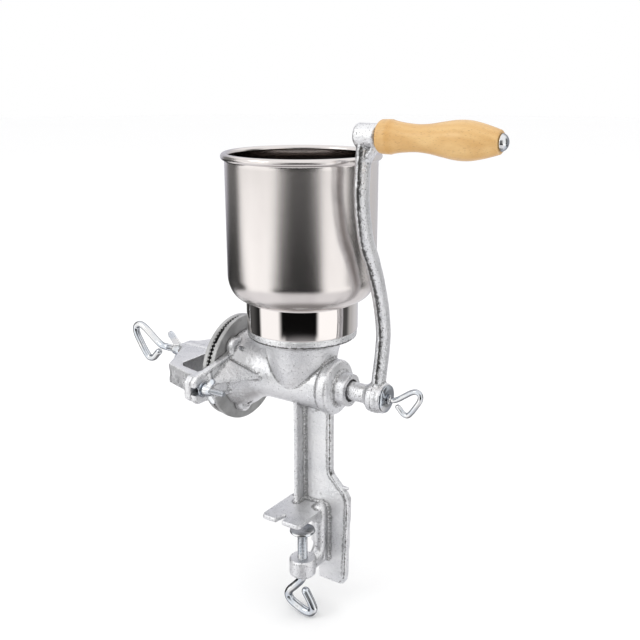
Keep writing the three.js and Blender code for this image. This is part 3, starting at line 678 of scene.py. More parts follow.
def thread(length, root, crest, pitch, land=0.12, flank=0.38, samples=8, sides=37, run_out=0.8):
    """Threaded rod from x = 0; samples are the steps in one pitch, land and flank shares of it."""
    return node_shape("wound_rod", wound_rod, {
        "Steps": int(length / pitch * samples) + 3, "Sides": sides,
        "Length": length * MM, "Pitch": pitch * MM, "Root": root * MM, "Crest": crest * MM,
        "Land": land, "Flank": flank, "Run out": run_out * MM})


def moved(thing, matrix):
    thing.data.transform(matrix)
    if matrix.determinant() < 0:
        thing.data.flip_normals()
    return thing


def at(x, y, z):
    return Matrix.Translation(Vector((x, y, z)) * MM)


FACING_BACK = Matrix.Rotation(math.pi, 4, "Z")
FACING_DOWN = Matrix.Rotation(math.pi / 2, 4, "Y")


# ---- Mill body -----------------------------------------------------------------------------------
def softened(profile, count=6):
    """The profile drawn as one smooth curve through its points."""
    line = smooth_line([(a, b, 0) for a, b in profile], count * len(profile))
    return [(a, max(b, 0)) for a, b, _ in line]


def barrel_metal():
    bell = [(FLANGE_X, 0), (FLANGE_X, 39), (FLANGE_X + 4.5, 39)]
    neck = softened([(FLANGE_X + 5.2, 38.4), (FLANGE_X + 9, 36), (FLANGE_X + 17, 29.5),
                     (FLANGE_X + 25, 25.4), (FLANGE_X + 34, 23.5)])
    nose = [(30, 23.5), (32, 25.6), (39.5, 25.8), (41, 24), (42.5, 17.2), (44, 15.2),
            (NOSE_X, 15.2), (NOSE_X, 0)]
    return lathe(bell + neck + nose, sides=96)


def bell_lobes():
    """Rounded pads that stand behind the fixed burr's screws."""
    lobe_r = 34.5
    lobes = []
    for angle in FIXED_SCREWS:
        centre = (lobe_r * math.cos(angle), SHAFT_Z + lobe_r * math.sin(angle))
        lobes.append(lathe([(FLANGE_X, 0), (FLANGE_X, 9.8), (FLANGE_X + 6.2, 9.4), (FLANGE_X + 7.4, 8.2),
                            (FLANGE_X + 7.4, 0)], centre=centre, sides=40))
    return lobes


def throat_metal():
    low = SHAFT_Z - 6
    flare = softened([(low, 21), (SHAFT_Z + 5, 27), (SHAFT_Z + 18, 31.5), (SHAFT_Z + 34, 35),
                      (SHAFT_Z + 42, 38.5), (SEAT_Z - 8.5, 44)])
    lip = [(SEAT_Z - 7.5, 48.5), (SEAT_Z - 6.2, 50.3), (SEAT_Z - 1.2, 50.6), (SEAT_Z, 50.0),
           (SEAT_Z, 49.3), (SEAT_Z + 11, 49.3), (SEAT_Z + 11, 0)]
    return lathe([(low, 0)] + flare + lip, "Z", (0, 0), 120)


def throat_hollow():
    return lathe([(SHAFT_Z, 0), (SHAFT_Z, 16.5), (SHAFT_Z + 9, 16.5), (SHAFT_Z + 20, 26),
                  (SHAFT_Z + 34, 31), (SEAT_Z - 6, 40), (SEAT_Z, 46), (SEAT_Z + 15, 46),
                  (SEAT_Z + 15, 0)], "Z", (0, 0), 96)


def ear_metal(side):
    """Arm with its lug, the knee that props it from behind, and the thick rounded edges."""
    tip = side * (EAR_Y + 11.7)
    lug = [(side * 22, SHAFT_Z - 18), (side * 50, SHAFT_Z - 14), (tip - side * 4, SHAFT_Z - 13),
           (tip, SHAFT_Z - 9), (tip, SHAFT_Z + 9), (tip - side * 4, SHAFT_Z + 13),
           (side * 50, SHAFT_Z + 19), (side * 22, SHAFT_Z + 26)]
    knee = []
    for z in (SHAFT_Z + 0.5, SHAFT_Z + 4):
        knee += [(EAR_X1 - 1, side * 61, z), (EAR_X1 + 28, side * 24, z), (EAR_X1 - 1, side * 22, z)]
    knee.append((EAR_X1 - 1, side * 37, SHAFT_Z + 20))
    knee_faces = [(0, 1, 2), (0, 1, 4, 3), (1, 2, 5, 4), (2, 0, 3, 5), (3, 4, 6), (4, 5, 6), (5, 3, 6)]
    edges = []
    for line in ([(28, 24), (50, 18.2), (70, 14.4)], [(24, -16.9), (50, -13.2), (66, -12)]):
        path = [(EAR_X1 + 0.2, side * y, SHAFT_Z + up) for y, up in line]
        edges.append(swept(path, (1, 0, 0), 1.1, 0.9, steps=24, sides=14))
    upright = swept([(EAR_X1 + 0.4, side * 63, SHAFT_Z - 11), (EAR_X1 + 0.4, side * 63, SHAFT_Z + 11)],
                    (1, 0, 0), 1.6, 1.5, steps=8, sides=14)
    return [prism(lug, "X", FLANGE_X, EAR_X1), solid(knee, knee_faces), upright, *edges]


def ear_slot(side):
    """Open slot that the yoke's bolt swings into."""
    half = 3.6
    inner, outer = sorted((side * EAR_Y, side * (EAR_Y + 20)))
    return [block(FLANGE_X - 2, EAR_X1 + 4, inner, outer, SHAFT_Z - half, SHAFT_Z + half),
            rod(FLANGE_X - 2, EAR_X1 + 4, half, centre=(side * EAR_Y, SHAFT_Z))]


def shape_in_y(thing, share):
    thing.data.transform(Matrix.Diagonal((1, share, 1, 1)))


def column_metal():
    """Plate of the column with its beaded edges, middle rib and the haunch under the barrel."""
    right = [(FOOT_X1 - 9, FOOT_Z + 0.2), (FOOT_X1 - 3.5, FOOT_Z + 1.6), (FOOT_X1 - 1.4, FOOT_Z + 5.5),
             (FOOT_X1 - 1, FOOT_Z + 10), (FOOT_X1 + 1.7, 12), (FOOT_X1 + 1.2, 17), (FOOT_X1 - 2, 22),
             (COLUMN_X1 + 2.4, 35.6), (COLUMN_X1 + 0.3, 38.4), (COLUMN_X1, 42),
             (COLUMN_X1, SHAFT_Z - 24)]
    plate = [(COLUMN_X0, SHAFT_Z - 10), (COLUMN_X0, 0), (FOOT_X0, 0), (FOOT_X0, FOOT_Z + 0.2), *right,
             (COLUMN_X1 + 2, SHAFT_Z - 17), (COLUMN_X1 + 6, SHAFT_Z - 13), (COLUMN_X1 + 6, SHAFT_Z - 10)]
    edge = [(x - 1.3, -1.6, z) for x, z in right[3:]] + [(COLUMN_X1 - 0.6, -2, SHAFT_Z - 19)]
    bead = swept(edge, (0, 1, 0), 3.1, 1.5, steps=120, sides=16)
    left_line = [(COLUMN_X0 + 1.8, -1.6, z) for z in (3, 60, SHAFT_Z - 22)]
    left = swept(left_line, (0, 1, 0), 3.1, 1.6, steps=60, sides=16)
    rib = prism([(0.2, -17), (3.8, -17), (4.4, 0), (-0.4, 0)], "Z", 2, SHAFT_Z - 12)
    haunch = lathe([(SHAFT_Z - 30, 0), (SHAFT_Z - 30, 7), (SHAFT_Z - 22, 12), (SHAFT_Z - 14, 19),
                    (SHAFT_Z - 14, 0)], "Z", (13, 0), 40)
    shape_in_y(haunch, 0.42)
    nub = lathe([(FOOT_X1 - 5, 0), (FOOT_X1 - 5, 1.9), (FOOT_X1 + 0.6, 1.7), (FOOT_X1 + 1.6, 0)],
                centre=(-0.5, 27), sides=20)
    return [prism(plate, "Y", -3.4, 3.4), rib, bead, left, haunch, nub]


def jaw_metal():
    """Flat jaw that lies on the table, with a notch in its front edge."""
    notch_x, bottom, top = 8.5, 0.3, 5
    notch = [(-3.6, -52.8), (-1.5, -42), (-0.8, -40.8), (0.8, -40.8), (1.5, -42), (3.6, -52.8)]
    outline = [(-11, -3.5), (-11, -49.5), (-10.2, -51.8), (-8.4, -52.8),
               *[(notch_x + x, y) for x, y in notch],
               (28.4, -52.8), (30.3, -51.8), (31, -49.5), (31, -3.5), (27, 3.3), (-7, 3.3)]
    return prism(outline, "Z", bottom, top)


def clamp_metal():
    """Spine down from the jaw, forward to the boss that the clamp screw runs in."""
    spine_y = -10.5
    turn_z = -46
    spine_line = [(26.5, spine_y, 3), (26.5, spine_y, -12), (26.5, spine_y, -27),
                  (26.3, spine_y - 2, turn_z + 6), (25.5, spine_y - 9, turn_z), (25, CLAMP_Y + 9, turn_z)]
    spine = swept(spine_line, (1, 0, 0), 6.2, 6.2, steps=70, sides=32)
    ridge_line = [(20.8, spine_y - 4.2, 1), (20.8, spine_y - 4.2, -30)]
    ridge = swept(ridge_line, (1, 0, 0), 1.2, 1.2, steps=8, sides=12)
    back = block(21, 32, spine_y, 0, turn_z - 4, 2)
    web = prism([(21, CLAMP_Y + 6), (31, CLAMP_Y + 6), (31.5, 0), (20.5, 0)], "Z", -53, turn_z + 2)
    boss = lathe([(-54, 0), (-54, 11.7), (-53.2, 12.5), (-37.8, 12.5), (-37, 11.9), (-37, 0)], "Z",
                 (CLAMP_X, CLAMP_Y), 64)
    gusset = prism([(-3.4, 0.6), (-3.4, -16), (-30, 0.6)], "X", 21.5, 31.5)
    return [spine, ridge, back, web, boss, gusset]


def screw_spots(angles, radius):
    return [(radius * math.cos(a), SHAFT_Z + radius * math.sin(a)) for a in angles]


def body_bores():
    """Machined holes: the barrel with the shaft's bearing, the burr's screws, the clamp screw."""
    barrel = lathe([(FLANGE_X - 5, 0), (FLANGE_X - 5, 27), (FLANGE_X, 27), (FLANGE_X + 9, 19.5),
                    (28, 19.5), (32, 9.2), (NOSE_X - 3, 9.2), (NOSE_X - 3, 10.6), (NOSE_X + 5, 10.6),
                    (NOSE_X + 5, 0)], sides=72)
    screws = [rod(FLANGE_X - 2, FLANGE_X + 30, 2.35, sides=20, centre=spot)
              for spot in screw_spots(FIXED_SCREWS, BURR_SCREW_R)]
    return [barrel, *screws, rod(-70, -25, 5.05, "Z", (CLAMP_X, CLAMP_Y))]


def note_body_marks(body):
    """The mould's seam down the throat, lip and column, where a dark reflection is painted, and painted
    shade inside throat and barrel.
    """
    place = note_relief(body)
    x, y, z = (place[:, i] / MM for i in range(3))
    # Where a dark reflection is painted along the mould's seam: throat, lip and column edge.
    along_throat = np.exp(-(y / 0.7) ** 2) * (z > 60) * (x > 20) * 0.55
    lip = np.exp(-((z - (SEAT_Z - 5.6)) / 1.1) ** 2) * (np.hypot(x, y) > 47)
    rim_x = np.interp(z, [FOOT_Z, FOOT_Z + 10, 12, 22, 36, 42, 100], [44, 51, 53.6, 49.6, 36, 33.8, 33.8])
    edge = np.exp(-((x - rim_x + 0.9) / 0.8) ** 2) * (z < 100) * (y > -5.5) * (y < -0.8) * 0.9
    note_share(body, "seam", np.clip(along_throat + lip + edge, 0, 1))
    # Painted shade inside the throat and the barrel.
    radius = np.hypot(x, y)
    throat_wall = np.interp(z, [146, 160, 194], [28, 32, 43])
    in_throat = (radius < 47) & (radius < throat_wall) & (z > SHAFT_Z + 8) & (z < SEAT_Z + 5)
    barrel_wall = np.interp(x, [FLANGE_X, -57, 28, 32], [27.5, 20, 20, 11])
    in_barrel = (np.hypot(y, z - SHAFT_Z) < barrel_wall) & (x < NOSE_X - 3)
    note_share(body, "soot", in_throat | in_barrel)


def mill_body():
    metal = [barrel_metal(), throat_metal(), *bell_lobes(), *ear_metal(-1), *ear_metal(1), *column_metal(),
             jaw_metal(), *clamp_metal()]
    hollows = [throat_hollow(), *ear_slot(-1), *ear_slot(1)]
    body = cast(metal, hollows, voxel=1.0, rounding=1, bores=body_bores(), skin=0.1)
    note_body_marks(body)
    fit(body, "body_casting", "frame", "mill_body", TINNED)


# ---- Hopper --------------------------------------------------------------------------------------
def hopper():
    """Neck, swept shoulder and wall of one sheet, with its rim rolled outwards."""
    bead_z = RIM_TOP - BEAD_R
    shoulder_r = 52.2
    neck = [(NECK_Z, NECK_R - 0.7), (NECK_Z + 0.3, NECK_R - 0.1), (NECK_Z + 1, NECK_R),
            (NECK_TOP - 2.2, NECK_R), (NECK_TOP - 0.9, NECK_R + 0.1), (NECK_TOP - 0.1, NECK_R + 0.7)]
    shoulder = [(SHOULDER_TOP - (SHOULDER_TOP - NECK_TOP) * math.cos(a),
                 shoulder_r + (HOPPER_R - shoulder_r) * math.sin(a))
                for a in np.linspace(math.radians(3), math.pi / 2, 26)]
    wall = [(z, HOPPER_R) for z in np.linspace(SHOULDER_TOP + 1.5, bead_z - 4.2, 26)]
    tuck = [(bead_z - 2.6, HOPPER_R + 0.1), (bead_z - 2.2, HOPPER_R + 0.5)]
    roll = [(bead_z + BEAD_R * math.sin(a), HOPPER_R + 0.2 + BEAD_R * math.cos(a))
            for a in np.radians(np.linspace(-58, 208, 26))]
    inner = [(z, min(r - SHEET, HOPPER_R - SHEET)) for z, r in reversed(neck[1:] + shoulder + wall)]
    profile = [*neck, *shoulder, *wall, *tuck, *roll, *inner, (NECK_Z, NECK_R - SHEET), neck[0]]
    fit(lathe(profile, "Z", (0, 0), 180), "hopper_shell", "hopper", "hopper", STEEL, 50)


# ---- Burrs, their screws, carrier, ball and worm -------------------------------------------------
def burr(x0, x1, inner, outer, face, spots, side):
    """Plate with ground teeth on the face that looks along side: fine ones at its rim, coarse ones
    further in."""
    plate = lathe([(x0, inner), (x0, outer - 0.5), (x0 + 0.5, outer), (x1 - 0.5, outer), (x1, outer - 0.5),
                   (x1, inner), (x0, inner)], sides=144)
    sink = [(face + side * 3, 0), (face + side * 3, 4.6), (face - side * 2, 4.6), (face - side * 2, 2.35),
            (face - side * 8, 2.35), (face - side * 8, 0)]
    bored(plate, [lathe(sink, centre=spot, sides=32) for spot in spots])
    tall, sunk = 2.2, 0.1
    for count, low, high, width in ((84, 40.5, outer - 0.4, 2.4), (42, 27.0, 39.8, 2.6)):
        teeth = node_shape("ring_of_teeth", ring_of_teeth, {
            "Count": count, "Height": tall * MM, "Width": width * MM, "Length": (high - low) * MM,
            "Middle": (high + low) / 2 * MM, "Side": float(side)})
        moved(teeth, at(face + side * sunk, 0, SHAFT_Z))
        plate = gathered([plate, clear_of(teeth, spots, reach=7.5)])
    return plate


def clear_of(teeth, spots, reach):
    """Drops the teeth that would stand over a screw."""
    shape = bmesh.new()
    shape.from_mesh(teeth.data)
    gone = [v for v in shape.verts
            if any(math.hypot(v.co.y / MM - y, v.co.z / MM - z) < reach for y, z in spots)]
    linked = set(gone)
    queue = list(gone)
    while queue:
        for edge in queue.pop().link_edges:
            for vertex in edge.verts:
                if vertex not in linked:
                    linked.add(vertex)
                    queue.append(vertex)
    bmesh.ops.delete(shape, geom=list(linked), context="VERTS")
    shape.to_mesh(teeth.data)
    shape.free()
    return teeth


def slotted_screw(head_x, end_x, spot, side):
    """Countersunk screw: head at head_x facing side, shank towards end_x."""
    y, z = spot
    screw = lathe([(head_x, 0), (head_x, 3.9), (head_x - side * 0.35, 4.3), (head_x - side * 2.1, 4.3),
                   (head_x - side * 2.1, 2), (end_x + side * 0.6, 2), (end_x, 1.5), (end_x, 0)],
                  centre=spot, sides=32)
    low, high = sorted((head_x + side, head_x - side))
    return bored(screw, [block(low, high, y - 5, y + 5, z - 0.55, z + 0.55)])


def burrs():
    thick = 4.5
    fixed_face = fixed_high.x - thick
    turning_face = turning_low.x + thick
    fixed_spots = screw_spots(FIXED_SCREWS, BURR_SCREW_R)
    turning_spots = screw_spots(TURNING_SCREWS, TURNING_SCREW_R)
    fit(burr(fixed_face, fixed_high.x, 22, 52, fixed_face, fixed_spots, -1),
        "fixed_burr_disc", "frame", "fixed_burr", GROUND)
    fit(burr(turning_low.x, turning_face, 12, 50.5, turning_face, turning_spots, 1),
        "turning_burr_disc", "crank", "turning_burr", GROUND)
    for i, spot in enumerate(fixed_spots, 1):
        fit(slotted_screw(fixed_face - 0.2, FLANGE_X + 9.4, spot, -1), f"fixed_burr_fixing_{i}",
            "frame", f"fixed_burr_screw_{i}", ZINC)
    for i, spot in enumerate(turning_spots, 1):
        fit(slotted_screw(turning_face + 0.2, carrier_low.x + 7.5, spot, 1), f"turning_burr_fixing_{i}",
            "crank", f"turning_burr_screw_{i}", ZINC)


def drive_pin_bore():
    return rod(SHAFT_Z - 20, SHAFT_Z + 20, 2.3, "Z", (DRIVE_PIN_X, 0))


def burr_carrier():
    """Disc and hub behind the turning burr with four webs, and the pin that drives them."""
    x0, x1 = carrier_low.x, carrier_high.x
    disc_x = x0 + 7
    disc = lathe([(x0, 8.9), (x0, 14.2), (x0 + 0.8, 15), (disc_x - 2, 15.8), (disc_x, 18), (disc_x, 39),
                  (disc_x + 1, 40), (x1 - 0.6, 41), (x1, 40.6), (x1, 8.9), (x0, 8.9)], sides=96)
    webs = [block(disc_x - 2.4, disc_x + 1, 14, 38, SHAFT_Z - 2, SHAFT_Z + 2) for _ in range(4)]
    for i, web in enumerate(webs):
        turn = Matrix.Rotation(math.radians(45 + 90 * i), 4, "X")
        moved(web, at(0, 0, SHAFT_Z) @ turn @ at(0, 0, -SHAFT_Z))
    carrier = cast([disc, *webs], [], voxel=0.9, rounding=3, bores=[drive_pin_bore()], skin=0.08)
    note_share(carrier, "seam", np.zeros(len(note_relief(carrier))))
    fit(carrier, "burr_carrier_disc", "crank", "burr_carrier", TINNED)
    half = 14
    pin = lathe([(SHAFT_Z - half, 0), (SHAFT_Z - half, 1.5), (SHAFT_Z - half + 0.6, 2),
                 (SHAFT_Z + half - 0.6, 2), (SHAFT_Z + half, 1.5), (SHAFT_Z + half, 0)],
                "Z", (DRIVE_PIN_X, 0), 32)
    fit(pin, "carrier_pin", "crank", "drive_pin", ZINC)


def thrust_ball():
    radius = 4
    profile = [(ball_low.x + radius - radius * math.cos(a), radius * math.sin(a))
               for a in np.linspace(0, math.pi, 25)]
    fit(lathe(profile, sides=48), "ball", "thrust", "thrust_ball", ZINC)


def worm_shaft():
    """Shaft with its coarse worm, a square end for the crank, and bores for ball, pin and screw."""
    low_x, high_x = (corner.x for corner in span("worm_shaft"))
    worm_x0, worm_x1 = FLANGE_X + 6, 24.0
    journal = 8.6
    core = lathe([(low_x, 0), (low_x, 8), (low_x + 0.6, journal), (worm_x0, journal), (worm_x0 + 10, 11),
                  (worm_x1, 9.5), (worm_x1 + 4, journal), (HUB_X0 - 0.3, journal), (HUB_X0 - 0.3, 0)],
                 sides=64)
    flight = thread(worm_x1 - worm_x0, root=8.0, crest=18.8, pitch=26, land=0.14, flank=0.05,
                    samples=44, sides=97, run_out=7)
    moved(flight, at(worm_x0, 0, SHAFT_Z))
    half = 5.5
    square = block(HUB_X0 - 2, high_x, -half, half, SHAFT_Z - half, SHAFT_Z + half)
    shaped(square, "BEVEL", width=0.5 * MM, segments=2)
    shaft = welded([core, flight, square])
    bored(shaft, [rod(low_x - 2, low_x + 4, 4.4), rod(HUB_X0 + 6, high_x + 3, 2.65), drive_pin_bore()])
    note_share(shaft, "seam", np.zeros(len(note_relief(shaft))))
    fit(shaft, "worm_and_shaft", "crank", "worm_shaft", TINNED)


# ---- Yoke ----------------------------------------------------------------------------------------
def yoke_metal(pad_x0, pad_x1):
    """Bow of the yoke, its two lugs with thick inner edges, and the boss of the adjusting screw."""
    metal = []
    plan = []
    for side in (-1, 1):
        half = [(YOKE_X, side * 9), (YOKE_X + 8, side * 12),
                (YOKE_CORNER_X - 6, side * (YOKE_CORNER_Y - 12)), (YOKE_CORNER_X, side * YOKE_CORNER_Y),
                (pad_x0, side * (EAR_Y - 1)), (pad_x0 + 1, side * (EAR_Y - 12)),
                (YOKE_INNER_X + 6, side * (YOKE_CORNER_Y - 4)), (YOKE_INNER_X, side * (YOKE_CORNER_Y - 10))]
        plan = half[::-1] + plan if side < 0 else plan + half
        tip, root = side * (EAR_Y + 11.7), side * (EAR_Y - 11)
        lug = [(root, SHAFT_Z - 12.3), (tip - side * 5, SHAFT_Z - 12.3), (tip, SHAFT_Z - 8),
               (tip, SHAFT_Z + 8), (tip - side * 5, SHAFT_Z + 12.3), (root, SHAFT_Z + 12.3)]
        metal.append(prism(lug, "X", pad_x0, pad_x1))
        wall = [(pad_x0 - 3, side * (EAR_Y - 3.5), z) for z in (SHAFT_Z - 9, SHAFT_Z + 9)]
        metal.append(swept(wall, (1, 0, 0), 2.6, 2.2, steps=8, sides=14))
    metal.append(prism(plan, "Z", SHAFT_Z - 9.8, SHAFT_Z + 9.8))
    boss = [(YOKE_X, 0), (YOKE_X, 9), (YOKE_X + 0.8, 9.8), (YOKE_X + 4, 10.9), (YOKE_INNER_X - 4, 10.9),
            (YOKE_INNER_X - 4, 0)]
    return [*metal, lathe(boss, sides=64)]


def yoke_hollows(pad_x0):
    """On each side the pocket in the bow's underside, the round waist at the arm's outer edge and
    the groove along it."""
    hollows = []
    for side in (-1, 1):
        pocket = [(YOKE_X + 17, side * 14), (YOKE_INNER_X - 4, side * 14), (YOKE_INNER_X - 4, side * 44),
                  (YOKE_CORNER_X - 1, side * 46)]
        hollows.append(prism(pocket, "Z", SHAFT_Z - 11, SHAFT_Z + 6))
        waist = [(pad_x0 - 42, 0), (pad_x0 - 42, 7.4), (pad_x0 - 16, 7.4), (pad_x0 - 12, 0)]
        hollows.append(lathe(waist, centre=(side * 84, SHAFT_Z)))
        groove = [(YOKE_X + 9, 15.5), (YOKE_CORNER_X - 4.2, YOKE_CORNER_Y - 9),
                  (YOKE_CORNER_X - 1, YOKE_CORNER_Y + 0.6), (YOKE_CORNER_X + 14, YOKE_CORNER_Y + 5.8),
                  (pad_x0 - 9, EAR_Y - 2)]
        path = [(x, side * y, SHAFT_Z) for x, y in groove]
        hollows.append(swept(path, (0, 0, 1), 6.2, 2.0, steps=70, sides=20))
    return hollows


def yoke():
    pad_x0, pad_x1 = yoke_high.x - 7, yoke_high.x
    bores = [rod(YOKE_X - 2, YOKE_INNER_X + 2, 4.05)]
    for side in (-1, 1):
        bores += [rod(pad_x0 - 2, pad_x1 + 2, 3.2, centre=(side * EAR_Y, SHAFT_Z)),
                  rod(pad_x0 - 24, pad_x0, 7.2, centre=(side * EAR_Y, SHAFT_Z))]
    piece = cast(yoke_metal(pad_x0, pad_x1), yoke_hollows(pad_x0), voxel=0.8, rounding=1,
                 bores=bores, skin=0.1)
    place = note_relief(piece)
    x, y, z = (place[:, i] / MM for i in range(3))
    # Painted dark reflection along the yoke's seam.
    note_share(piece, "seam", np.exp(-((z - SHAFT_Z - 1.5) / 0.6) ** 2) * (x < -100) * 0.3)
    # Painted shade inside the yoke's bow.
    inside_y = np.interp(x, [-136, YOKE_CORNER_X, YOKE_INNER_X, YOKE_INNER_X + 8], [14, 48, 50, 56])
    note_share(piece, "soot", (x > -136) * (np.abs(y) < inside_y) * (z < SHAFT_Z + 9.2) * 0.8)
    fit(piece, "yoke_casting", "frame", "yoke", TINNED)


# ---- Bent-wire screws ----------------------------------------------------------------------------
# Wire lines for an eye of unit size: (along the shank, to the side).
CLOSED_EYE = [(-0.1, 0), (0.02, 0.01), (0.16, 0.08), (0.4, 0.25), (0.62, 0.4), (0.78, 0.45),
              (0.91, 0.38), (0.92, 0.22), (0.78, -0.04), (0.61, -0.29), (0.49, -0.4), (0.34, -0.37),
              (0.22, -0.25), (0.15, -0.185)]
OPEN_EYE = [(-0.1, 0), (0.02, -0.01), (0.14, -0.07), (0.36, -0.25), (0.56, -0.42), (0.7, -0.46),
            (0.82, -0.38), (0.93, -0.14), (0.99, 0.08), (0.97, 0.25), (0.84, 0.33), (0.68, 0.27),
            (0.4, 0.09)]


def eye_screw(matrix, shank, length, pitch, wire, eye, size, collar=(), plain=0.0):
    """Rolled thread on a rod whose other end is bent into an eye; drawn along +X with the shank
    ending at x = 0, then placed. Plain is the length left without thread before the eye."""
    depth = pitch * 0.55
    screw = thread(length - 0.08 * size - plain, shank - depth, shank, pitch)
    moved(screw, at(-length, 0, 0))
    bend_x = -0.08 * size
    thread_x = bend_x - plain
    neck = lathe([(thread_x - 1.5, 0), (thread_x - 1.5, shank - depth), (thread_x, shank - 0.1), *collar,
                  (bend_x, shank - 0.1), (0, wire * 0.9), (0, 0)], centre=(0, 0), sides=40)
    bent = swept([(x * size, 0, s * size) for x, s in eye], (0, 1, 0), wire, wire, steps=130, sides=28)
    return moved(welded([screw, neck, bent]), matrix)


def wing_nut(matrix, bore, hub, height, reach, turn):
    """Pressed wing nut, base at x = 0 and the wings flaring along +X."""
    outline = [(height * 0.15, bore + 0.6), (height * 0.12, hub)]

    def curve(start, middle, end, count=8):
        for i in range(1, count + 1):
            t = i / count
            outline.append(tuple((1 - t) ** 2 * s + 2 * t * (1 - t) * m + t * t * e
                                 for s, m, e in zip(start, middle, end)))

    curve(outline[-1], (height * 0.45, reach * 0.62), (height * 0.85, reach * 0.92))
    curve(outline[-1], (height * 1.15, reach * 1.08), (height * 1.4, reach * 0.9))
    curve(outline[-1], (height * 1.5, reach * 0.72), (height * 1.22, reach * 0.56))
    outline.append((height * 0.92, bore + 0.6))
    thick = hub * 0.42
    wings = [moved(prism(outline, "Z", -thick / 2, thick / 2), Matrix.Rotation(turn + flip, 4, "X"))
             for flip in (0, math.pi)]
    barrel = lathe([(0, 0), (0, hub - 0.5), (0.5, hub), (height * 0.35, hub * 0.95),
                    (height * 0.93, hub * 0.8), (height, hub * 0.72), (height, 0)], centre=(0, 0), sides=48)
    bores = [rod(-2, height + 2, bore, centre=(0, 0), sides=40)]
    return moved(cast([barrel, *wings], [], voxel=0.34, rounding=4, bores=bores), matrix)


def washer(x0, x1, inner, outer, centre):
    """Flat ring with broken edges."""
    edge = min(0.35, (x1 - x0) / 3)
    return lathe([(x0, inner + edge), (x0, outer - edge), (x0 + edge, outer), (x1 - edge, outer),
                  (x1, outer - edge), (x1, inner + edge), (x1 - edge, inner), (x0 + edge, inner),
                  (x0, inner + edge)], centre=centre, sides=56)


def adjuster():
    """Adjusting screw against the thrust ball, its spring washer and lock wing."""
    tip_x = ball_low.x - 0.3
    eye_x = -180
    screw = eye_screw(at(eye_x, 0, SHAFT_Z) @ FACING_BACK, shank=3.7, length=tip_x - eye_x,
                      pitch=ADJUSTER_PITCH, wire=3.5, eye=CLOSED_EYE, size=41, plain=4)
    fit(screw, "adjusting_eye_screw", "adjuster", "adjusting_screw", ZINC)
    fit(washer(lock_low.x, lock_high.x, 4.0, 8.2, (0, SHAFT_Z)), "lock_spring_washer", "lock_washer",
        "lock_washer", SPRING)
    nut = wing_nut(at(lock_low.x - 0.3, 0, SHAFT_Z) @ FACING_BACK, bore=4.0, hub=6.8, height=11.6,
                   reach=20, turn=math.radians(80))
    fit(nut, "lock_wing", "lock_nut", "lock_wing_nut", ZINC)


def yoke_bolts():
    for end, side in (("front", -1), ("rear", 1)):
        y = side * EAR_Y
        head_x = yoke_high.x - 7.3
        tip_x = -36
        bolt = lathe([(head_x - 3.6, 0), (head_x - 3.5, 1.6), (head_x - 3.1, 3.4), (head_x - 2.3, 5),
                      (head_x - 1.2, 6.1), (head_x - 0.4, 6.4), (head_x, 6.2), (head_x, 2.7),
                      (head_x + 14, 2.7), (head_x + 15, 2.2), (head_x + 15, 0)],
                     centre=(y, SHAFT_Z), sides=48)
        rolled = thread(tip_x - head_x - 13, root=2.25, crest=2.8, pitch=YOKE_BOLT_PITCH)
        moved(rolled, at(head_x + 13, y, SHAFT_Z))
        fit(welded([bolt, rolled]), f"yoke_{end}_bolt", "frame", f"yoke_bolt_{end}", ZINC)
        low, high = span(f"yoke_washer_{end}")
        fit(washer(low.x, high.x, 3.1, 7.6, (y, SHAFT_Z)), f"ear_{end}_washer", f"{end}_washer",
            f"yoke_washer_{end}", ZINC)
        nut = wing_nut(at(high.x + 0.3, y, SHAFT_Z), bore=3.1, hub=5.6, height=8.6, reach=12,
                       turn=math.radians(90))
        fit(nut, f"ear_{end}_wing", f"{end}_nut", f"yoke_wing_nut_{end}", ZINC)


# ---- Crank, its screw and handle -----------------------------------------------------------------
# The arm's middle line: (along Y, up from the shaft).
ARM_LINE = [(0, 0), (1, 17), (4.5, 34), (7, 56), (3, 80), (-5, 104), (-16, 128), (-24, 142), (-30, 162),
            (-33, 183), (-32, 203), (-30, 220), (-30, 230)]


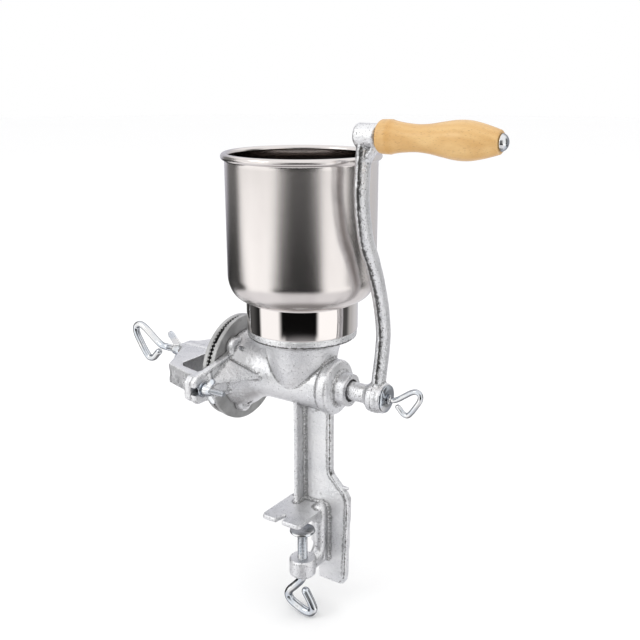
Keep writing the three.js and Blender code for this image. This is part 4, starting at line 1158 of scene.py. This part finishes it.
def crank_arm():
    """Curved bar with the mould's fin along it, a square-holed hub and the boss of the grip's pin."""
    path = [(ARM_X, y, SHAFT_Z + z) for y, z in ARM_LINE]
    bar = swept(path, (1, 0, 0), 5.8, 8.3, steps=160, sides=36, round_end=False)
    fin = swept([(x + 0.9, y, z) for x, y, z in path[1:-1]], (1, 0, 0), 0.95, 9.0, steps=160, sides=24)
    hub = lathe([(HUB_X0, 0), (HUB_X0, 10.2), (HUB_X0 + 3, 11), (HUB_X0 + 4.2, 13.2), (HUB_X0 + 5.4, 14.2),
                 (HUB_X0 + 9.4, 14.5), (HUB_X0 + 9.9, 13.9), (HUB_X0 + 10.6, 13.9), (HUB_X0 + 11.1, 14.5),
                 (HUB_X0 + 14, 14.5), (HUB_X0 + 14.8, 13.7), (HUB_X0 + 18.2, 13.7), (HUB_X0 + 19, 13),
                 (HUB_X0 + 19, 0)], sides=80)
    boss_x0, boss_x1 = HUB_X0 + 4.8, HUB_X0 + 24
    boss = lathe([(boss_x0, 0), (boss_x0, 8.6), (boss_x0 + 1.3, 9.8), (boss_x1 - 1, 10), (boss_x1, 9.4),
                  (boss_x1, 0)], centre=(GRIP_Y, GRIP_Z), sides=64)
    knuckle = swept([(boss_x1 - 3, GRIP_Y, GRIP_Z - 6), (boss_x1 - 3.4, GRIP_Y, GRIP_Z - 10),
                     (boss_x1 - 7, GRIP_Y, GRIP_Z - 15), (ARM_X + 1, GRIP_Y - 1, GRIP_Z - 24)],
                    (0, 1, 0), 6.4, 2.8, steps=30, sides=20)
    half = 5.85
    square = block(HUB_X0 - 2, HUB_X0 + 21, -half, half, SHAFT_Z - half, SHAFT_Z + half)
    pin_bore = rod(boss_x0 - 5, boss_x1 + 5, 3.55, centre=(GRIP_Y, GRIP_Z))
    arm = cast([bar, fin, hub, boss, knuckle], [], voxel=0.95, rounding=3, bores=[square, pin_bore],
               skin=0.13)
    place = note_relief(arm)
    x, z = place[:, 0] / MM, place[:, 2] / MM
    # Share of the painted dark reflection along the arm's fin and round the hub.
    off_line = x - ARM_X - 0.9
    width = np.where(off_line < 0, 0.8, 2.6)
    seam = np.exp(-(off_line / width) ** 2) * (z > SHAFT_Z + 15) * (z < GRIP_Z - 7)
    hub_seam = np.exp(-((x - HUB_X0 - 10.2) / 0.7) ** 2) * (z < SHAFT_Z + 15) * 0.8
    note_share(arm, "seam", seam + hub_seam)
    fit(arm, "crank_casting", "crank", "crank_arm", TINNED)


def crank_screw():
    x0, x1 = washer_low.x, washer_high.x
    dome = [(x0, 2.7), (x0, 12.2), (x0 + 0.5, 12.6), (x0 + 1.0, 12.4), (x0 + 1.6, 11.2), (x0 + 2.0, 9.2),
            (x1, 6.6), (x1, 2.7), (x0, 2.7)]
    fit(lathe(dome, sides=80), "crank_cup_washer", "crank_washer", "crank_washer", ZINC, 40)
    eye_x = 98
    hub_end = HUB_X0 + 19
    collar = [(x1 + 0.3 - eye_x, 2.3), (x1 + 0.3 - eye_x, 4.1), (x1 + 0.6 - eye_x, 4.4),
              (x1 + 1.5 - eye_x, 4.4), (x1 + 2.1 - eye_x, 2.6)]
    screw = eye_screw(at(eye_x, 0, SHAFT_Z), shank=2.3, length=eye_x - hub_end + 17,
                      pitch=CRANK_SCREW_PITCH, wire=2.4, eye=CLOSED_EYE, size=28, collar=collar, plain=5)
    fit(screw, "crank_eye_screw", "thumb_screw", "crank_thumb_screw", ZINC)


# The turned grip: (share of its length, radius). The first six points are the crisp collar.
GRIP_PROFILE = [(0, 11.5), (0.004, 12.5), (0.015, 13.2), (0.06, 13.4), (0.098, 13.4), (0.106, 13.1),
                (0.13, 12.5), (0.2, 11.4), (0.32, 10.5), (0.42, 11.1), (0.54, 13.1), (0.66, 14.8),
                (0.76, 14.7), (0.86, 12.8), (0.94, 10.6), (0.985, 9.2), (0.996, 8.8), (1, 8.2)]
COLLAR_POINTS = 6


def handle():
    """Wooden grip, the washer at its inner end and the riveted pin that it turns on."""
    length = GRIP_X1 - GRIP_X0
    bore = 3.6
    turned = [(GRIP_X0 + t * length, r) for t, r in GRIP_PROFILE]
    crisp = turned[:COLLAR_POINTS]
    flowing = softened(turned[COLLAR_POINTS - 1:], 7)
    profile = [(GRIP_X0, bore), *crisp, *flowing[1:], (GRIP_X1, bore), (GRIP_X0, bore)]
    grip = lathe(profile, centre=(GRIP_Y, GRIP_Z), sides=120)
    fit(grip, "wooden_grip", "grip", "handle_grip", BEECH, 24)
    low, high = span("handle_washer")
    fit(washer(low.x, high.x, 3.55, 8.6, (GRIP_Y, GRIP_Z)), "grip_washer", "crank", "handle_washer",
        ZINC)
    head = GRIP_X1 + 0.3
    rivet = pin_low.x
    pin = lathe([(rivet, 0), (rivet + 0.05, 2), (rivet + 0.5, 3.9), (rivet + 1.1, 4.9), (rivet + 1.7, 5.2),
                 (rivet + 1.7, 3.2), (head, 3.2), (head, 6.3), (head + 0.4, 6.6), (head + 1.2, 6.6),
                 (head + 1.7, 6.2), (head + 2.3, 5.9), (head + 3.2, 5.2), (head + 4.2, 3.9),
                 (head + 4.9, 2.2), (head + 5.2, 0)], centre=(GRIP_Y, GRIP_Z), sides=64)
    fit(pin, "riveted_pin", "crank", "handle_pin", ZINC, 40)


# ---- Table clamp ---------------------------------------------------------------------------------
def clamp():
    """Swivel pad, and the clamp screw whose stud sits in it."""
    top, bottom = pad_high.z - 0.3, pad_low.z
    centre = (CLAMP_X, CLAMP_Y)
    pad = lathe([(top - 1, 0), (top - 1, 3.3), (bottom, 3.3), (bottom, 7.2), (bottom + 0.3, 7.9),
                 (bottom + 1.5, 11.3), (bottom + 2.2, 11.8), (top - 0.9, 11.8), (top - 0.2, 11.5),
                 (top, 11.0), (top, 0)], "Z", centre, 72)
    fit(pad, "swivel_pad", "clamp_pad", "clamp_pad", ZINC)
    eye_z = -58
    screw = eye_screw(at(CLAMP_X, CLAMP_Y, eye_z) @ FACING_DOWN, shank=4.7, length=bottom - 0.3 - eye_z,
                      pitch=CLAMP_SCREW_PITCH, wire=4.0, eye=OPEN_EYE, size=37)
    stud = lathe([(bottom - 3, 0), (bottom - 3, 3), (top - 1.6, 3), (top - 1.3, 2.7), (top - 1.3, 0)],
                 "Z", centre, 40)
    fit(welded([screw, stud]), "clamp_eye_screw", "clamp_screw", "clamp_screw", ZINC)


mill_body()
hopper()
burrs()
burr_carrier()
thrust_ball()
worm_shaft()
yoke()
adjuster()
yoke_bolts()
crank_arm()
crank_screw()
handle()
clamp()


# ---- Floor, studio light and camera --------------------------------------------------------------
def floor():
    """Round sheet of white paper under the mill; metal doesn't mirror it."""
    radius, thick = 9000, 4
    top = CAD_BOX[0][2] / MM
    sheet = lathe([(top - thick, 0), (top - thick, radius), (top, radius), (top, 0)], "Z", (0, 0), 96)
    sheet.name = "studio_floor"
    material, b, place, wire = finish("floor_paper", Roughness=0.9)
    fibre = b.noise(place, 240, 3, 0.5)
    wire(Base_Color=b.mix(fibre, (0.975, 0.975, 0.975), (0.99, 0.99, 0.99)))
    sheet.data.materials.append(material)
    sheet.visible_glossy = False


def studio_surround():
    """Room that metal mirrors. Round the horizon, soft boxes stand with dark gaps between them, in a
    ring for level and upward rays, one for rays that look slightly down and one for steeper ones.
    It is white above, pale below and dark straight down. The camera and matt surfaces see white."""
    world = bpy.data.worlds.new("studio")
    bpy.context.scene.world = world
    world.use_nodes = True
    world.node_tree.nodes.clear()
    b = Bench(world.node_tree)
    x, y, z = b.parts(b.put("ShaderNodeTexCoord"))
    toward = x * math.sin(CAMERA_AZIMUTH) - y * math.cos(CAMERA_AZIMUTH)
    right = x * math.cos(CAMERA_AZIMUTH) + y * math.sin(CAMERA_AZIMUTH)
    round_share = right.maths("ARCTAN2", toward) / TURN + 0.5

    def ring_of_boxes(*shades):
        """Shades at angles round the room, in degrees from the camera's side."""
        stops = [(degrees / 360 + 0.5, shade) for degrees, shade in shades]
        settings = {"ramp_interpolation": "EASE", "stops": stops}
        return b.put("ShaderNodeValToRGB", settings, {"Fac": round_share})

    cool = (0.60, 0.60, 0.66)
    far = (0.7, 0.7, 0.72)
    low_ring = ring_of_boxes(
        (-180, cool), (-166, cool), (-152, 0.02), (-109, 0.015), (-97, 1.4), (-39, 1.4), (-31, 0.006),
        (25, 0.005), (33, 1.35), (68, 1.35), (75, 0.06), (97, 0.08), (106, 0.80), (140, far), (180, cool))
    high_ring = ring_of_boxes(
        (-180, cool), (-150, cool), (-136, 0.22), (-112, 0.20), (-100, 1.1), (-44, 1.1), (-10, 0.17),
        (8, 0.17), (40, 1.1), (64, 1.1), (80, 0.16), (97, 0.16), (110, 0.80), (140, far), (180, cool))
    foot_ring = ring_of_boxes(
        (-180, 0.30), (-150, 0.04), (-125, 0.10), (-100, 0.02), (-91, 1.3), (-52, 1.3), (-40, 0.005),
        (28, 0.005), (38, 1.35), (78, 1.35), (90, 0.10), (104, 0.08), (120, 0.55), (140, far), (180, cool))
    lower = b.mix(z.step(-0.236, -0.250) * z.step(-0.44, -0.41), low_ring, foot_ring)
    level = b.mix(z.step(-0.236, -0.10), lower, high_ring)
    above = b.mix(z.step(0.30, 0.62), level, (1.1, 1.1, 1.11))
    below = b.mix(z.step(-0.41, -0.47) * 0.92, above, (0.93, 0.925, 0.95))
    under = b.mix(z.step(-0.80, -0.97), below, (0.30, 0.29, 0.29))
    rays = b.put("ShaderNodeLightPath").socket.node.outputs
    diffuse = b.mix(Wire(b, rays["Is Diffuse Ray"]), under, (1.02, 1.02, 1.02))
    shade = b.mix(Wire(b, rays["Is Camera Ray"]), diffuse, (1.0, 1.0, 1.0))
    background = b.put("ShaderNodeBackground", {}, {"Color": shade, "Strength": 1.0})
    b.put("ShaderNodeOutputWorld", {}, {"Surface": background})


def soft_light(name, place, target, size, power):
    """Round area lamp that faces a target; sizes in metres, power in watts."""
    data = bpy.data.lights.new(name, "AREA")
    data.shape = "DISK"
    data.size = size
    data.energy = power
    lamp = bpy.data.objects.new(name, data)
    lamp.location = place
    lamp.rotation_euler = (Vector(target) - Vector(place)).to_track_quat("-Z", "Y").to_euler()
    bpy.context.scene.collection.objects.link(lamp)
    return lamp


def camera():
    data = bpy.data.cameras.new("camera")
    data.lens = CAMERA_LENS
    data.sensor_width = 36
    eye = bpy.data.objects.new("camera", data)
    eye.location = CAMERA_PLACE
    level = math.cos(CAMERA_PITCH)
    forward = Vector((-math.sin(CAMERA_AZIMUTH) * level, math.cos(CAMERA_AZIMUTH) * level,
                      -math.sin(CAMERA_PITCH)))
    eye.rotation_euler = forward.to_track_quat("-Z", "Y").to_euler()
    bpy.context.scene.collection.objects.link(eye)
    bpy.context.scene.camera = eye


floor()
studio_surround()
overhead = soft_light("overhead", place=(0.2, -0.4, 2.6), target=(0, 0, 0.1), size=2.4, power=12)
overhead.visible_glossy = False
soft_light("key", place=(-0.9, -1.5, 1.3), target=(0, 0, 0.15), size=0.9, power=4)
camera()
bpy.context.scene.view_settings.view_transform = "Standard"
